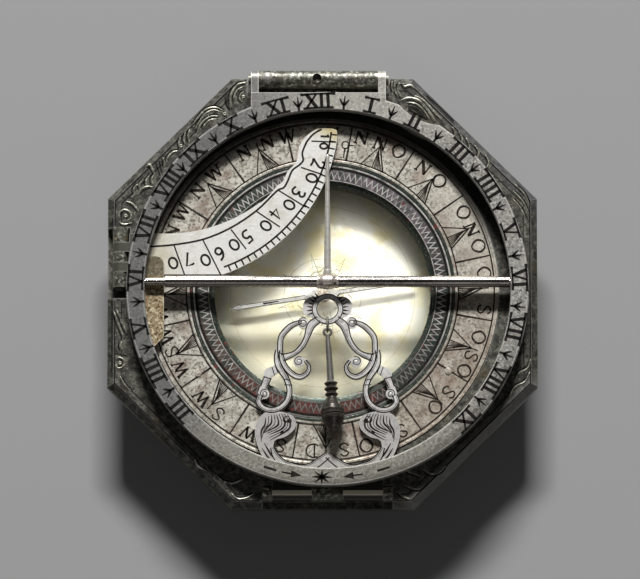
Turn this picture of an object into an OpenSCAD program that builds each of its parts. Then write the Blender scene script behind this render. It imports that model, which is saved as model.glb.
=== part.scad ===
// Folding octagonal compass sundial with a tilting hour ring, a latitude arc and a plumb bracket.
// The dial lies folded: +Y is its north edge, +X its east edge, and the compass box rests on z = 0.

/* [Plate] */
// Width of the plate from its west edge to its east edge
plate_w = 60; // [58:0.5:64]
// Depth of the plate from its south edge to its north edge
plate_d = 61.4; // [60.6:0.2:64]
// Distance across the four slanting edges
plate_diag = 61.4; // [59:0.2:64]
// Thickness of the plate
plate_t = 2.2; // [2:0.1:3]
// Width of the bevel along the top edge
plate_bevel = 0.9; // [0.4:0.1:1.2]

/* [Compass] */
// Height of the compass box below the plate
box_h = 7.5; // [6:0.25:12]
// Outer radius of the compass box
box_r = 17.8; // [17.2:0.1:19]
// Inner radius of the compass box
box_bore = 15.4; // [14.6:0.1:15.8]
// Thickness of the floor of the box
box_floor = 1.2; // [0.8:0.1:2]
// Wall of the neck that passes up into the plate
neck_wall = 1.15; // [0.7:0.05:1.4]
// Depth of the seat of the glass below the plate's top
glass_seat = 1.5; // [1.3:0.1:1.8]
// Thickness of the glass
glass_t = 0.7; // [0.5:0.1:1]
// Outer radius of the engraved ring that holds the glass
bezel_r = 18.5; // [18.1:0.1:19.2]
// Inner radius of the engraved ring that holds the glass
bezel_bore = 15.1; // [14.2:0.1:15.3]
// Outer radius of the wind rose ring
rose_r = 24.6; // [22:0.1:25.5]
// Thickness of the wind rose ring
rose_t = 0.5; // [0.4:0.05:0.8]
// How far the wind rose ring and the glass ring stand above the plate
rose_proud = 0.1; // [0.05:0.05:0.2]
// Depth of the compass card's face below the glass
card_depth = 2.2; // [2:0.05:2.6]
// Thickness of the compass card
card_t = 0.15; // [0.1:0.05:0.4]
// Thickness of the disc that carries the card
card_plate_t = 0.8; // [0.5:0.1:1.2]
// Height of the needle's blade above the card
needle_lift = 1.15; // [1.05:0.05:1.3]
// Length of the needle from tip to tip
needle_len = 26.4; // [18:0.2:28]
// Width of the needle's blade at its arrowhead
needle_w = 1; // [0.8:0.1:1.6]
// Thickness of the needle's blade
needle_t = 0.25; // [0.15:0.05:0.4]
// Angle of the needle to the line from east to west
needle_turn = 9; // [-40:1:40]

/* [Hour ring] */
// Place of the hour ring's centre line, east of the plate's centre
centre_x = 0.7; // [0.2:0.1:1]
// Width of the hour ring's band
ring_band = 2.55; // [2.2:0.05:3]
// Thickness of the hour ring
ring_t = 1.2; // [1.1:0.05:1.5]
// Gap between the plate and the hour ring
ring_gap = 1.3; // [1.2:0.05:1.6]
// Small bevel on the top edges of the hour ring
ring_bevel = 0.15; // [0.05:0.05:0.25]
// Half the width of the straight tab at the ring's hinge
tab_half = 9.43; // [8.8:0.01:10]
// Place of the middle of that hinge, east of the plate's centre
tab_x = -0.57; // [-1:0.01:0]
// Gap between the tab's edge and the hinge axis
tab_back = 2.15; // [1.9:0.05:2.4]
// Distance of the ring hinge's axis inside the plate's north edge
ring_axis_inset = 0.6; // [0.4:0.1:0.9]
// Height of the ring hinge's axis above the plate
ring_axis_z = 1.15; // [1.05:0.05:1.3]
// Radius of the ring hinge's barrel
ring_barrel_r = 1.25; // [1:0.05:1.35]
// Width of each ear of the ring
ear_w = 1.05; // [0.8:0.05:1.3]

/* [Gnomon] */
// Place of the gnomon bar, north of the ring's centre
bar_y = 1; // [0.6:0.1:1.2]
// Radius of the gnomon bar
bar_r = 0.8; // [0.65:0.05:0.85]
// Radius of the bar's pivots in the ring
pivot_r = 0.35; // [0.3:0.01:0.4]
// Length of each pivot
pivot_len = 1.6; // [1:0.1:2]
// Length of the boss on the middle of the bar
boss_len = 3; // [2:0.1:4]
// Radius of the boss
boss_r = 1.05; // [1:0.05:1.15]
// Length of the gnomon pin from the bar's axis
gnomon_len = 18.2; // [12:0.1:19.5]
// Radius of the gnomon pin at its root
gnomon_root_r = 0.5; // [0.4:0.05:0.6]
// Radius of the gnomon pin at its tip
gnomon_tip_r = 0.25; // [0.15:0.05:0.35]
// Length of the spring clip under the bar
clip_len = 12.8; // [9:0.1:14]
// Width of the spring clip
clip_w = 4.1; // [3.4:0.1:4.6]
// Thickness of the spring clip
clip_t = 0.3; // [0.2:0.05:0.35]
// Distance of each rivet of the clip from its end
clip_rivet_inset = 2.6; // [2:0.1:3.2]

/* [Latitude arc] */
// Thickness of the latitude arc and of the plumb bracket
blade_t = 0.5; // [0.4:0.05:0.6]
// Gap between the plate and these blades
blade_gap = 0.3; // [0.25:0.05:0.4]
// Distance of the arc hinge's axis inside the plate's west edge
arc_axis_inset = 1.8; // [1.6:0.1:2]
// Place of the middle of the arc hinge, north of the plate's centre
arc_hinge_y = 4.8; // [4:0.1:6]
// Radius of the arc hinge's knuckles
arc_knuckle_r = 1.1; // [1.05:0.05:1.15]
// Width of each of the arc's two knuckles
arc_knuckle_w = 1.35; // [1:0.05:1.6]
// Width of the middle knuckle of the plate's side of the arc hinge
arc_mid_w = 1.4; // [1:0.05:1.8]
// Width of the two end knuckles of the plate's side of the arc hinge
arc_end_w = 2.1; // [1.6:0.05:2.4]
// Radius of the arc's graduated edge
scale_r = 24.2; // [23.8:0.1:24.6]
// Distance of that edge's centre from the arc hinge's axis
scale_cx = 6.3; // [5.9:0.1:6.7]
// Distance of that edge's centre from the middle of the arc hinge
scale_cy = 20.3; // [19.9:0.1:20.7]
// Height of the inner edge of the arc's foot, north of the middle of its hinge
foot_back = 3.3; // [2.8:0.1:3.6]

/* [Plumb bracket] */
// Distance of the bracket hinge's axis inside the plate's south edge
bracket_axis_inset = 2; // [1.8:0.1:2.2]
// Radius of the bracket hinge's knuckles
bracket_knuckle_r = 1; // [0.95:0.05:1.05]
// Half the width of the middle knuckle of the bracket hinge
bracket_mid_half = 2.1; // [1.6:0.1:2.6]
// Width of each of the bracket's two knuckles
bracket_knuckle_w = 5.55; // [4.5:0.05:6]
// Width of each of the two end lugs of the bracket hinge
bracket_lug_w = 1.25; // [1:0.05:1.6]
// Distance of the eye's centre from the bracket hinge's axis
eye_reach = 26.05; // [25:0.05:26.2]
// Outer radius of the eye
eye_r = 2.15; // [1.9:0.05:2.25]
// Inner radius of the eye
eye_bore = 1.45; // [1.35:0.05:1.5]
// Width of the bracket's scrolled strands
strand_w = 0.85; // [0.7:0.05:1]

/* [Plumb bob] */
// Length of the bob from its eyelet to its tip
bob_len = 16.6; // [12:0.1:17.4]
// Greatest radius of the bob
bob_r = 1.6; // [1.3:0.05:1.6]
// Radius of the link's wire
link_wire = 0.17; // [0.14:0.01:0.2]
// Radius of the link at the middle of its wire
link_r = 1; // [0.95:0.01:1.05]

/* [Fits] */
// Radius of the hinge pins
pin_r = 0.4; // [0.3:0.01:0.5]
// Radial clearance of a turning fit
run_gap = 0.03; // [0.02:0.01:0.06]
// Gap between neighbouring knuckles
side_gap = 0.05; // [0.03:0.01:0.1]

/* [Hidden] */
$fn = 96;
eps = 0.01;
over = 1;

// Heights of the layers
z_plate = box_h + plate_t;
z_seat = z_plate - glass_seat;
z_glass = z_seat + glass_t;
z_rose = z_plate + rose_proud;
z_blade = z_plate + blade_gap;
z_ring = z_plate + ring_gap;
z_bar = z_ring + ring_t / 2;
z_card = z_seat - card_depth;
z_shelf = z_card - card_t - card_plate_t;
z_needle = z_card + needle_lift;

// Compass box and its neck
neck_r = box_bore + neck_wall;
plate_bore = neck_r + 0.05;
box_edge = 0.7;
shelf_w = 1;
rose_bore = bezel_r + 0.05;
rose_seat_r = rose_r + 0.05;
rose_bead = 0.06;
rivet_reach = (rose_r + rose_bore) / 2 - 0.7;
rivet_turns = [214, -33];
rivet_r = 0.55;

// Needle, its cap and its pivot
hub_r = 0.6;
hub_wall = 0.25;
hub_half = 1.1;
cap_flange_r = 1.1;
cap_head_r = 0.85;
pivot_tip_r = 0.22;
cap_below = 0.5;
cap_above = 0.45;

// Ring hinge, whose tab the ring meets
ring_axis_y = plate_d / 2 - ring_axis_inset;
tab_overlap = 0.1;
ring_r = ring_axis_y - tab_back + tab_overlap;
ring_bore = ring_r - ring_band;
ring_axis = [tab_x, ring_axis_y, z_plate + ring_axis_z];
ear_r = ring_barrel_r - 0.05;
ring_pin_r = pin_r + 0.05;
barrel_half = tab_half - ear_w - side_gap;
hinge_recess = 0.8;
recess_side = 0.5;
hole_x = -0.2;
hole_r = 0.65;
hole_depth = 0.75;
scoop_turn = 62.5;
scoop_r = 8;
scoop_bite = 0.85;

// Bar, from one side of the ring's bore to the other, turned down where it lies on the clip
bar_half = sqrt(pow(ring_bore, 2) - pow(bar_y, 2)) - 0.15;
bar_end_r = ring_t / 2;
bar_end_len = clip_w - 1.4;

// Clip, along the west side of the ring's bore
clip_x = centre_x - ring_bore - 1.4;
clip_y = -8;
clip_rivet_r = 0.3;
clip_rivet_x = clip_x + 0.55;
clip_rivet_places = [clip_y + clip_rivet_inset, clip_y + clip_len - clip_rivet_inset];

// Arc hinge
arc_axis_x = -(plate_w / 2 - arc_axis_inset);
arc_axis_z = z_blade + blade_t - arc_knuckle_r + 0.05;
arc_clear = arc_knuckle_r + 0.15;
arc_a = arc_mid_w / 2 + side_gap;
arc_b = arc_a + arc_knuckle_w;
arc_c = arc_b + side_gap + arc_end_w;
arc_pocket = 1.5;
arc_recess = 1.6;
scale_centre = [scale_cx, scale_cy];
arc_unit = scale_r / 24.2;
back_r = 21 * arc_unit;
back_centre = [6.5 * arc_unit, foot_back + back_r];

// Bracket hinge
bracket_axis_y = -(plate_d / 2 - bracket_axis_inset);
bracket_axis_z = z_blade + blade_t - bracket_knuckle_r;
bracket_clear = bracket_knuckle_r + 0.15;
bracket_a = bracket_mid_half + side_gap;
bracket_b = bracket_a + bracket_knuckle_w;
bracket_c = bracket_b + side_gap + bracket_lug_w;
bracket_recess = 1.4;

// Eye of the bracket, and the link that hangs in its lower rim
eye_y = bracket_axis_y + eye_reach;
rim_y = eye_y - (eye_r + eye_bore) / 2;
rim_z = z_blade + blade_t / 2;
link_drop = 0.35;
eyelet_wire = 0.2;
eyelet_r = 0.5;
bob_y = rim_y - link_drop - link_r + link_wire + eyelet_wire + 0.03 - eyelet_r;
scroll_unit = eye_reach / 26.05;
bob_tilt = asin((z_rose + rose_bead + bob_r + 0.07 - rim_z) / 12);
bob_lean = 3.5;

// A smooth line through hand-set points, where each point may carry a width as its third value
function between(a, b, c, d, t) =
    0.5 * (2 * b + (c - a) * t + (2 * a - 5 * b + 4 * c - d) * t * t
           + (3 * b - a - 3 * c + d) * t * t * t);
function smooth(p, steps) =
    [for (i = [0:len(p) - 2], s = [0:steps - 1])
         between(p[max(i - 1, 0)], p[i], p[i + 1], p[min(i + 2, len(p) - 1)], s / steps),
     p[len(p) - 1]];
function flat(p) = [p[0], p[1]];
function side(p, i) =
    let (d = flat(p[min(i + 1, len(p) - 1)]) - flat(p[max(i - 1, 0)]))
    [-d[1], d[0]] / norm(d);

// A strand of the bracket, along a smooth line at the width that each point carries
module strand(points, steps = 3) {
    line = smooth(scroll_unit * points, steps);
    n = len(line) - 1;
    polygon(concat(
        [for (i = [0:n]) flat(line[i]) + side(line, i) * line[i][2] / 2],
        [for (i = [n:-1:0]) flat(line[i]) - side(line, i) * line[i][2] / 2]));
}

// Points on a circle from one angle to another
function turn(centre, r, from, to, steps) =
    [for (i = [0:steps]) let (a = from + (to - from) * i / steps)
         centre + r * [cos(a), sin(a)]];

module octagon() {
    intersection() {
        square([plate_w, plate_d], center = true);
        rotate(45) square(plate_diag, center = true);
    }
}

// A long wedge that bevels one edge of the plate
module edge_cut(turned, reach) {
    rotate([0, 0, turned]) rotate([90, 0, 90])
        linear_extrude(plate_w, center = true)
            polygon([[reach - plate_bevel - over, z_plate + over],
                     [reach + over, z_plate + over],
                     [reach + over, z_plate - plate_bevel - over]]);
}

module x_rod(r, x0, x1) {
    translate([x0, 0, 0]) rotate([0, 90, 0]) cylinder(r = r, h = x1 - x0);
}

module y_rod(r, y0, y1) {
    translate([0, y0, 0]) rotate([-90, 0, 0]) cylinder(r = r, h = y1 - y0);
}

// A box given by its lowest and highest corners
module block(low, high) {
    translate(low) cube(high - low);
}

module base_plate() color("#6e675b") difference() {
    translate([0, 0, box_h]) linear_extrude(plate_t) octagon();
    for (i = [0:3]) {
        edge_cut(45 + 90 * i, plate_diag / 2);
        edge_cut(90 * i, (i % 2 == 0 ? plate_d : plate_w) / 2);
    }
    translate([0, 0, box_h - over]) cylinder(r = plate_bore, h = plate_t + 2 * over);
    translate([0, 0, z_glass]) cylinder(r = rose_bore, h = plate_t);
    translate([0, 0, z_rose - rose_t]) cylinder(r = rose_seat_r, h = plate_t);
    for (a = rivet_turns) rotate([0, 0, a]) translate([rivet_reach, 0, z_rose - rose_t - 0.8])
        cylinder(r = rivet_r / 2, h = plate_t);
    block([tab_x - tab_half - recess_side, ring_axis_y - tab_back, z_plate - hinge_recess],
          [tab_x + tab_half + recess_side, plate_d / 2 + over, z_plate + over]);
    block([centre_x - bracket_c - side_gap, -plate_d / 2 - over, z_plate - bracket_recess],
          [centre_x + bracket_c + side_gap, bracket_axis_y + bracket_clear, z_plate + over]);
    block([-plate_w / 2 - over, arc_hinge_y - arc_c - arc_pocket, z_plate - arc_recess],
          [arc_axis_x + arc_clear + 0.05, arc_hinge_y + arc_c + side_gap, z_plate + over]);
}

module compass_box() color("#8a7448") rotate_extrude()
    polygon([[0, 0], [box_r - box_edge, 0], [box_r, box_edge], [box_r, box_h], [neck_r, box_h],
             [neck_r, z_seat], [box_bore, z_seat], [box_bore, z_shelf],
             [box_bore - shelf_w, z_shelf], [box_bore - shelf_w, box_floor], [0, box_floor]]);

// The disc lies on the shelf inside the box
module card_plate() color("#9c8550") translate([0, 0, z_shelf])
    cylinder(r = box_bore - 0.05, h = card_plate_t);

module compass_card() color("#d9cfa6") translate([0, 0, z_card - card_t])
    cylinder(r = box_bore - 0.05, h = card_t);

module needle_pivot() color("#b08d4a") rotate_extrude()
    polygon([[0, z_card], [0.9, z_card], [0.9, z_card + 0.25], [0.4, z_card + 0.5],
             [pivot_tip_r, z_needle - cap_below], [pivot_tip_r, z_needle + needle_t],
             [0, z_needle + needle_t]]);

module compass_needle() color("#c9ccd2") translate([0, 0, z_needle]) rotate([0, 0, needle_turn])
    linear_extrude(needle_t) difference() {
        half = needle_len / 2;
        blade = needle_w / 3;
        upper = [[-half, 0], [1.6 - half, needle_w / 2], [1.7 - half, blade],
                 [-2 * hub_half, blade], [-hub_half, hub_r + hub_wall], [hub_half, hub_r + hub_wall],
                 [2 * hub_half, blade], [half - 1.4, blade], [half, blade / 2]];
        polygon(concat(upper, [for (i = [len(upper) - 1:-1:1]) [upper[i][0], -upper[i][1]]]));
        circle(r = hub_r);
    }

module needle_cap() color("#b08d4a") rotate_extrude()
    polygon([[pivot_tip_r + run_gap, z_needle - cap_below + 0.1],
             [cap_flange_r * 0.7, z_needle - cap_below + 0.1], [cap_flange_r, z_needle - 0.2],
             [cap_flange_r, z_needle], [hub_r, z_needle], [hub_r, z_needle + needle_t],
             [cap_head_r, z_needle + needle_t], [cap_head_r * 0.7, z_needle + needle_t + 0.35],
             [0, z_needle + needle_t + cap_above], [0, z_needle + needle_t + side_gap],
             [pivot_tip_r + run_gap, z_needle + needle_t + side_gap]]);

module glass() color("#dfe8e4", 0.35) translate([0, 0, z_seat]) cylinder(r = neck_r, h = glass_t);

module glass_ring() color("#9b8f74") rotate_extrude()
    polygon([[bezel_bore, z_glass], [bezel_r, z_glass], [bezel_r, z_rose + rose_bead],
             [bezel_r - 0.3, z_rose + rose_bead], [bezel_r - 0.4, z_rose], [bezel_bore + 0.7, z_rose],
             [bezel_bore + 0.3, z_rose - 0.3], [bezel_bore, z_rose - 0.4]]);

module wind_rose_ring() color("#c6c1b4") difference() {
    rotate_extrude()
        polygon([[rose_bore, z_rose - rose_t], [rose_r, z_rose - rose_t],
                 [rose_r, z_rose + rose_bead], [rose_r - 0.25, z_rose + rose_bead],
                 [rose_r - 0.35, z_rose], [rose_bore + 0.35, z_rose],
                 [rose_bore + 0.25, z_rose + rose_bead], [rose_bore, z_rose + rose_bead]]);
    for (a = rivet_turns) rotate([0, 0, a]) translate([rivet_reach, 0, z_rose - rose_t - over])
        cylinder(r = rivet_r / 2, h = 3 * over);
}

module wind_rose_rivets() color("#b6ad98")
    for (a = rivet_turns) rotate([0, 0, a]) translate([rivet_reach, 0, 0]) rotate_extrude()
        polygon([[0, z_rose - rose_t - 0.7], [rivet_r / 2, z_rose - rose_t - 0.7],
                 [rivet_r / 2, z_rose], [rivet_r, z_rose], [rivet_r * 0.8, z_rose + 0.12],
                 [0, z_rose + 0.16]]);

module ring_hinge_barrel() color("#7d7563") translate(ring_axis) difference() {
    union() {
        x_rod(ring_barrel_r, -barrel_half, barrel_half);
        block([-barrel_half, -ring_barrel_r + 0.25, -ring_axis_z - hinge_recess],
              [barrel_half, ring_axis_inset, -0.3]);
    }
    x_rod(ring_pin_r, -barrel_half - over, barrel_half + over);
    translate([hole_x, 0, ring_barrel_r - hole_depth]) cylinder(r = hole_r, h = over);
}

module ring_hinge_pin() color("#8f8672") translate(ring_axis) {
    x_rod(ring_pin_r, -tab_half - side_gap, tab_half + side_gap);
    for (s = [0, 1]) mirror([s, 0, 0])
        x_rod(ring_pin_r + 0.3, tab_half + side_gap, tab_half + side_gap + 0.3);
}

module hinge_rivet() color("#d8d2c2") translate(ring_axis + [1.2 - barrel_half, 0, 0])
    intersection() {
        translate([0, 0, ring_barrel_r - 0.1]) scale(0.8) sphere(r = 1);
        difference() {
            block([-over, -over, 0], [over, over, 2 * ring_barrel_r]);
            x_rod(ring_barrel_r, -2 * over, 2 * over);
        }
    }

// One ear of the ring, which turns on the hinge pin
module ear(x0) {
    translate(ring_axis) {
        x_rod(ear_r, x0, x0 + ear_w);
        block([x0, -tab_back - 0.5, z_ring - ring_axis[2]],
              [x0 + ear_w, 0, ear_r]);
    }
}

module hour_ring() color("#b9b6ae") difference() {
    union() {
        translate([centre_x, 0, 0]) rotate_extrude()
            polygon([[ring_bore, z_ring], [ring_r, z_ring], [ring_r, z_ring + ring_t - ring_bevel],
                     [ring_r - ring_bevel, z_ring + ring_t], [ring_bore + ring_bevel, z_ring + ring_t],
                     [ring_bore, z_ring + ring_t - ring_bevel]]);
        difference() {
            block([tab_x - tab_half, 0, z_ring],
                  [tab_x + tab_half, ring_axis_y - tab_back, z_ring + ring_t]);
            translate([centre_x, 0, z_ring - over]) cylinder(r = ring_bore + 0.3, h = ring_t + 2 * over);
        }
        ear(-tab_half);
        ear(tab_half - ear_w);
    }
    translate(ring_axis) x_rod(ring_pin_r + run_gap, -tab_half - over, tab_half + over);
    translate([centre_x, bar_y, z_bar])
        x_rod(pivot_r + run_gap, -bar_half - pivot_len - 0.3, bar_half + pivot_len + 0.3);
    translate([centre_x, 0, z_ring - over]) rotate([0, 0, scoop_turn])
        translate([ring_r + scoop_r - scoop_bite, 0, 0]) cylinder(r = scoop_r, h = ring_t + 2 * over);
}

module gnomon_bar() color("#c2bfb8") translate([centre_x, bar_y, z_bar]) {
    x_rod(bar_r, bar_end_len - bar_half, bar_half);
    x_rod(bar_end_r, -bar_half, bar_end_len - bar_half + eps);
    for (s = [0, 1]) mirror([s, 0, 0]) x_rod(pivot_r, bar_half, bar_half + pivot_len);
}

module gnomon_boss() color("#b98f55") translate([centre_x, bar_y, z_bar]) difference() {
    rotate([0, 90, 0]) rotate_extrude()
        polygon([[0, -boss_len / 2], [boss_r - 0.1, -boss_len / 2],
                 [boss_r - 0.1, -boss_len / 2 + 0.3], [bar_r + 0.1, -boss_len / 2 + 0.45],
                 [boss_r, -boss_len / 5], [boss_r, boss_len / 5], [bar_r + 0.1, boss_len / 2 - 0.45],
                 [boss_r - 0.1, boss_len / 2 - 0.3], [boss_r - 0.1, boss_len / 2], [0, boss_len / 2]]);
    x_rod(bar_r, -boss_len, boss_len);
}

module gnomon_pin() color("#c2bfb8") translate([centre_x, bar_y, z_bar]) difference() {
    rotate([-90, 0, 0]) rotate_extrude()
        polygon([[0, 0], [gnomon_root_r + 0.12, boss_r], [gnomon_root_r + 0.12, boss_r + 0.5],
                 [gnomon_root_r, boss_r + 0.6], [gnomon_tip_r, gnomon_len - 0.3],
                 [0.1, gnomon_len], [0, gnomon_len]]);
    x_rod(boss_r, -over, over);
}

module bar_clip() color("#a8895a") difference() {
    translate([clip_x, clip_y, z_ring - clip_t]) linear_extrude(clip_t)
        polygon(concat([[0, 0.6], [clip_w * 0.7, 0], [clip_w, 1.3]],
                       turn([clip_w - 1.2, clip_len - 1.2], 1.2, 0, 90, 6),
                       [[0, clip_len]]));
    for (y = clip_rivet_places)
        translate([clip_rivet_x, y, z_ring - over]) cylinder(r = clip_rivet_r, h = 2 * over);
}

module clip_rivets() color("#8f7a50")
    for (y = clip_rivet_places)
        translate([clip_rivet_x, y, z_ring - clip_t]) cylinder(r = clip_rivet_r, h = clip_t);

// The arc's blade seen from above, from its hinge axis eastwards and from the hinge's middle
module arc_outline() {
    edge = turn(scale_centre, scale_r, -70.5, -7.5, 20);
    foot = edge[0];
    difference() {
        polygon(concat(
            edge,
            smooth(arc_unit * [[30.2, 18.1], [29.6, 18.35], [28.4, 18.4], [27.3, 18.25], [26.2, 17.5],
                    [25.4, 16.6], [24.9, 15.6], [24.75, 14.6], [24.6, 13.7], [24, 12.9],
                    [23.3, 12.2], [22.9, 11.2], [22.5, 10.6], [21.8, 10.1], [21.2, 9.3],
                    [20.4, 8.4], [19.5, 7.7]], 2),
            turn(back_centre, back_r, -52, -94, 14),
            [[1.3, foot_back], [0, arc_b], [0, -arc_b], [1.4, -arc_b], [2.2, foot[1]]]));
        for (v = [0, arc_b + arc_end_w / 2 + side_gap, -arc_b - arc_end_w / 2 - side_gap])
            translate([0, v]) square([2 * arc_clear,
                (v == 0 ? arc_mid_w : arc_end_w) + 2 * side_gap], center = true);
    }
}

module latitude_arc() color("#dedcd2") {
    translate([arc_axis_x, arc_hinge_y, z_blade]) linear_extrude(blade_t) arc_outline();
    translate([arc_axis_x, arc_hinge_y, arc_axis_z]) for (y = [-arc_b, arc_a])
        difference() {
            y_rod(arc_knuckle_r, y, y + arc_knuckle_w);
            y_rod(pin_r + run_gap, y - over, y + arc_knuckle_w + over);
        }
}

module arc_hinge_lugs() color("#8d8570") translate([arc_axis_x, arc_hinge_y, arc_axis_z])
    difference() {
        union() {
            for (y = [-arc_c, -arc_mid_w / 2, arc_b + side_gap])
                y_rod(arc_knuckle_r, y, y + (y == -arc_mid_w / 2 ? arc_mid_w : arc_end_w));
            block([-arc_knuckle_r, -arc_c, z_plate - arc_recess - arc_axis_z],
                  [arc_knuckle_r, arc_c, -arc_knuckle_r + 0.02 - side_gap]);
            for (y = [-arc_c, -arc_mid_w / 2, arc_b + side_gap])
                block([-arc_knuckle_r, y, z_plate - arc_recess - arc_axis_z],
                      [arc_knuckle_r, y + (y == -arc_mid_w / 2 ? arc_mid_w : arc_end_w), -0.5]);
        }
        y_rod(pin_r, -arc_c - over, arc_c + over);
    }

module arc_hinge_pin() color("#9a917c") translate([arc_axis_x, arc_hinge_y, arc_axis_z])
    y_rod(pin_r, -arc_c - 0.35, arc_c);

// A ball, fan or hole of the bracket
module knob(centre, r) {
    translate(scroll_unit * centre) circle(r = scroll_unit * r);
}

// The west half of the bracket's scrollwork, from the centre line and the hinge axis, drawn for
// an eye 26.05 mm from that axis
module scroll_half() {
    // outer side of the upper loop, from the ball beside the eye round to the ball in its curl
    knob([-3.4, 24.1], 0.8);
    strand([[-3.5, 24.2, 0.5], [-4.4, 24, 0.7],
            [-5.4, 23.4, strand_w], [-6.4, 22.2, strand_w], [-6.6, 20.9, strand_w],
            [-6.5, 19.4, strand_w], [-5.9, 17.9, strand_w], [-4.9, 16.8, strand_w],
            [-3.8, 16.4, 0.8], [-2.8, 17, 0.7], [-2.6, 17.9, 0.6], [-3.1, 18.7, 0.5],
            [-3.9, 18.7, 0.6]]);
    knob([-4, 18.6], 0.75);
    // inner side of the upper loop, out to the outer side
    strand([[-1.2, 24.6, 1], [-2.3, 23.7, 1.2], [-2.9, 22, 0.85], [-3.6, 20.7, 0.8],
            [-4.7, 19.7, 0.75], [-6.3, 19.1, 1.1]]);
    // lower loop, from its pointed head round to the ball in its curl
    strand([[-6.7, 21.2, 0.2], [-6.95, 20.2, 0.7], [-7.05, 19.2, 0.85], [-6.9, 18.2, 0.95],
            [-6.4, 17.2, 0.9], [-5.7, 16.1, strand_w],
            [-5.3, 14.5, strand_w], [-5.6, 13.1, strand_w], [-6.5, 12.1, strand_w],
            [-7.7, 11.7, strand_w], [-8.9, 12, strand_w], [-9.6, 12.9, strand_w],
            [-9.3, 13.9, 0.8]]);
    knob([-8.8, 14], 0.7);
    // straight outer side of the lower loop, with its collar
    strand([[-6.7, 17.7, 1.1], [-7.5, 17.3, 1.2], [-8.2, 16.9, 1.4], [-8.4, 16.2, 1.1],
            [-8.9, 14.8, 1], [-9.5, 13.3, 0.9]], 2);
    // fan beside the eye
    knob([-1.95, 26.35], 1.5);
    // acanthus leaf of the foot, pierced beside its ball
    difference() {
        leaf = [[-6.2, 11.4], [-4.9, 10.9], [-4.4, 9.9], [-4.7, 8.9], [-5.9, 7.9], [-7.4, 7.3],
                [-7.5, 5], [-6.9, 3.4], [-8.5, 4.3], [-9.6, 6.3], [-10.1, 8.7], [-9.5, 10.6],
                [-8.2, 11.5], [-6.2, 11.4]];
        polygon(smooth(scroll_unit * leaf, 3));
        knob([-5.3, 10.15], 0.33);
        knob([-6.3, 8.5], 0.28);
    }
    // lower edge of the foot, a brace with its point at the centre line
    strand([[-7.7, 6.4, 0.6], [-7.2, 5.2, 1], [-6.2, 4.1, 1.3], [-5, 3.6, 1.4], [-3.6, 3.3, 1.4],
            [-2.2, 3.7, 1.3], [-0.9, 4.6, 1.2], [0, 5.3, 1]]);
    polygon(scroll_unit * [[0, 3], [0, 5.3], [-1.6, 3.9], [-1.6, 3]]);
    translate([-bracket_b, 3]) square([1.7, 1.7]);
}

module bracket_outline() {
    difference() {
        union() {
            scroll_half();
            mirror([1, 0]) scroll_half();
            translate([0, eye_reach]) circle(r = eye_r);
            translate([-bracket_b, 0]) square([2 * bracket_b, 3.7]);
        }
        translate([0, eye_reach]) circle(r = eye_bore);
        translate([-bracket_mid_half - side_gap, -over])
            square([2 * bracket_mid_half + 2 * side_gap, over + bracket_clear]);
    }
}

module plumb_bracket() color("#cfccc6") {
    translate([centre_x, bracket_axis_y, z_blade]) linear_extrude(blade_t) bracket_outline();
    translate([centre_x, bracket_axis_y, bracket_axis_z]) for (s = [0, 1]) mirror([s, 0, 0])
        difference() {
            x_rod(bracket_knuckle_r, bracket_a, bracket_b);
            x_rod(pin_r + run_gap, bracket_a - over, bracket_b + over);
        }
}

module bracket_hinge_lugs() color("#5f584a") translate([centre_x, bracket_axis_y, bracket_axis_z])
    difference() {
        union() {
            block([-bracket_c, -bracket_knuckle_r, z_plate - bracket_recess - bracket_axis_z],
                  [bracket_c, bracket_knuckle_r, -bracket_knuckle_r - side_gap]);
            for (x = [[-bracket_c, -bracket_b - side_gap], [-bracket_mid_half, bracket_mid_half],
                      [bracket_b + side_gap, bracket_c]]) {
                x_rod(bracket_knuckle_r, x[0], x[1]);
                block([x[0], -bracket_knuckle_r, z_plate - bracket_recess - bracket_axis_z],
                      [x[1], bracket_knuckle_r, -0.4]);
            }
        }
        x_rod(pin_r, -bracket_c - over, bracket_c + over);
    }

module bracket_hinge_pin() color("#9a917c") translate([centre_x, bracket_axis_y, bracket_axis_z])
    x_rod(pin_r, -bracket_c, bracket_c);

module plumb_link() color("#8d8272") translate([centre_x, rim_y - link_drop, rim_z])
    rotate([0, 90, 0]) rotate_extrude() translate([link_r, 0]) circle(r = link_wire, $fn = 24);

// The bob, which lies on the ring of the glass; its flat eyelet holds the link
module plumb_bob() color("#4a3d33") translate([centre_x, bob_y, rim_z])
    rotate([-bob_tilt, 0, bob_lean]) {
    rotate_extrude() translate([eyelet_r, 0]) circle(r = eyelet_wire, $fn = 24);
    rotate([90, 0, 0]) rotate_extrude()
        polygon([[0, 0.45], [0.3, 0.5], [0.4, 2.1], [0.5, 7.1], [0.95, 7.5], [0.6, 7.9], [1, 8.3],
                 [0.6, 8.7], [0.95, 9.1], [0.6, 9.5], [0.85, 10], [1.35, 10.8], [bob_r, 11.4],
                 [bob_r, 12], [1.4, 12.05], [1.4, 12.2], [bob_r, 12.25], [bob_r - 0.05, 12.7],
                 [1, 13.9], [0.65, 14.9], [0.35, bob_len - 0.7], [0, bob_len - 0.5]]);
}

base_plate();
compass_box();
card_plate();
compass_card();
needle_pivot();
compass_needle();
needle_cap();
glass();
glass_ring();
wind_rose_ring();
wind_rose_rivets();
ring_hinge_barrel();
ring_hinge_pin();
hinge_rivet();
hour_ring();
gnomon_bar();
gnomon_boss();
gnomon_pin();
bar_clip();
clip_rivets();
latitude_arc();
arc_hinge_lugs();
arc_hinge_pin();
plumb_bracket();
bracket_hinge_lugs();
bracket_hinge_pin();
plumb_link();
plumb_bob();
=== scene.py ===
"""Looks of a folding compass dial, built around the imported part.

Lengths in the classes are millimetres in the part's own frame; meshes are written in metres.
Angles on the dial are degrees clockwise from its north side, as a maker lays them out.
"""

from __future__ import annotations

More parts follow.
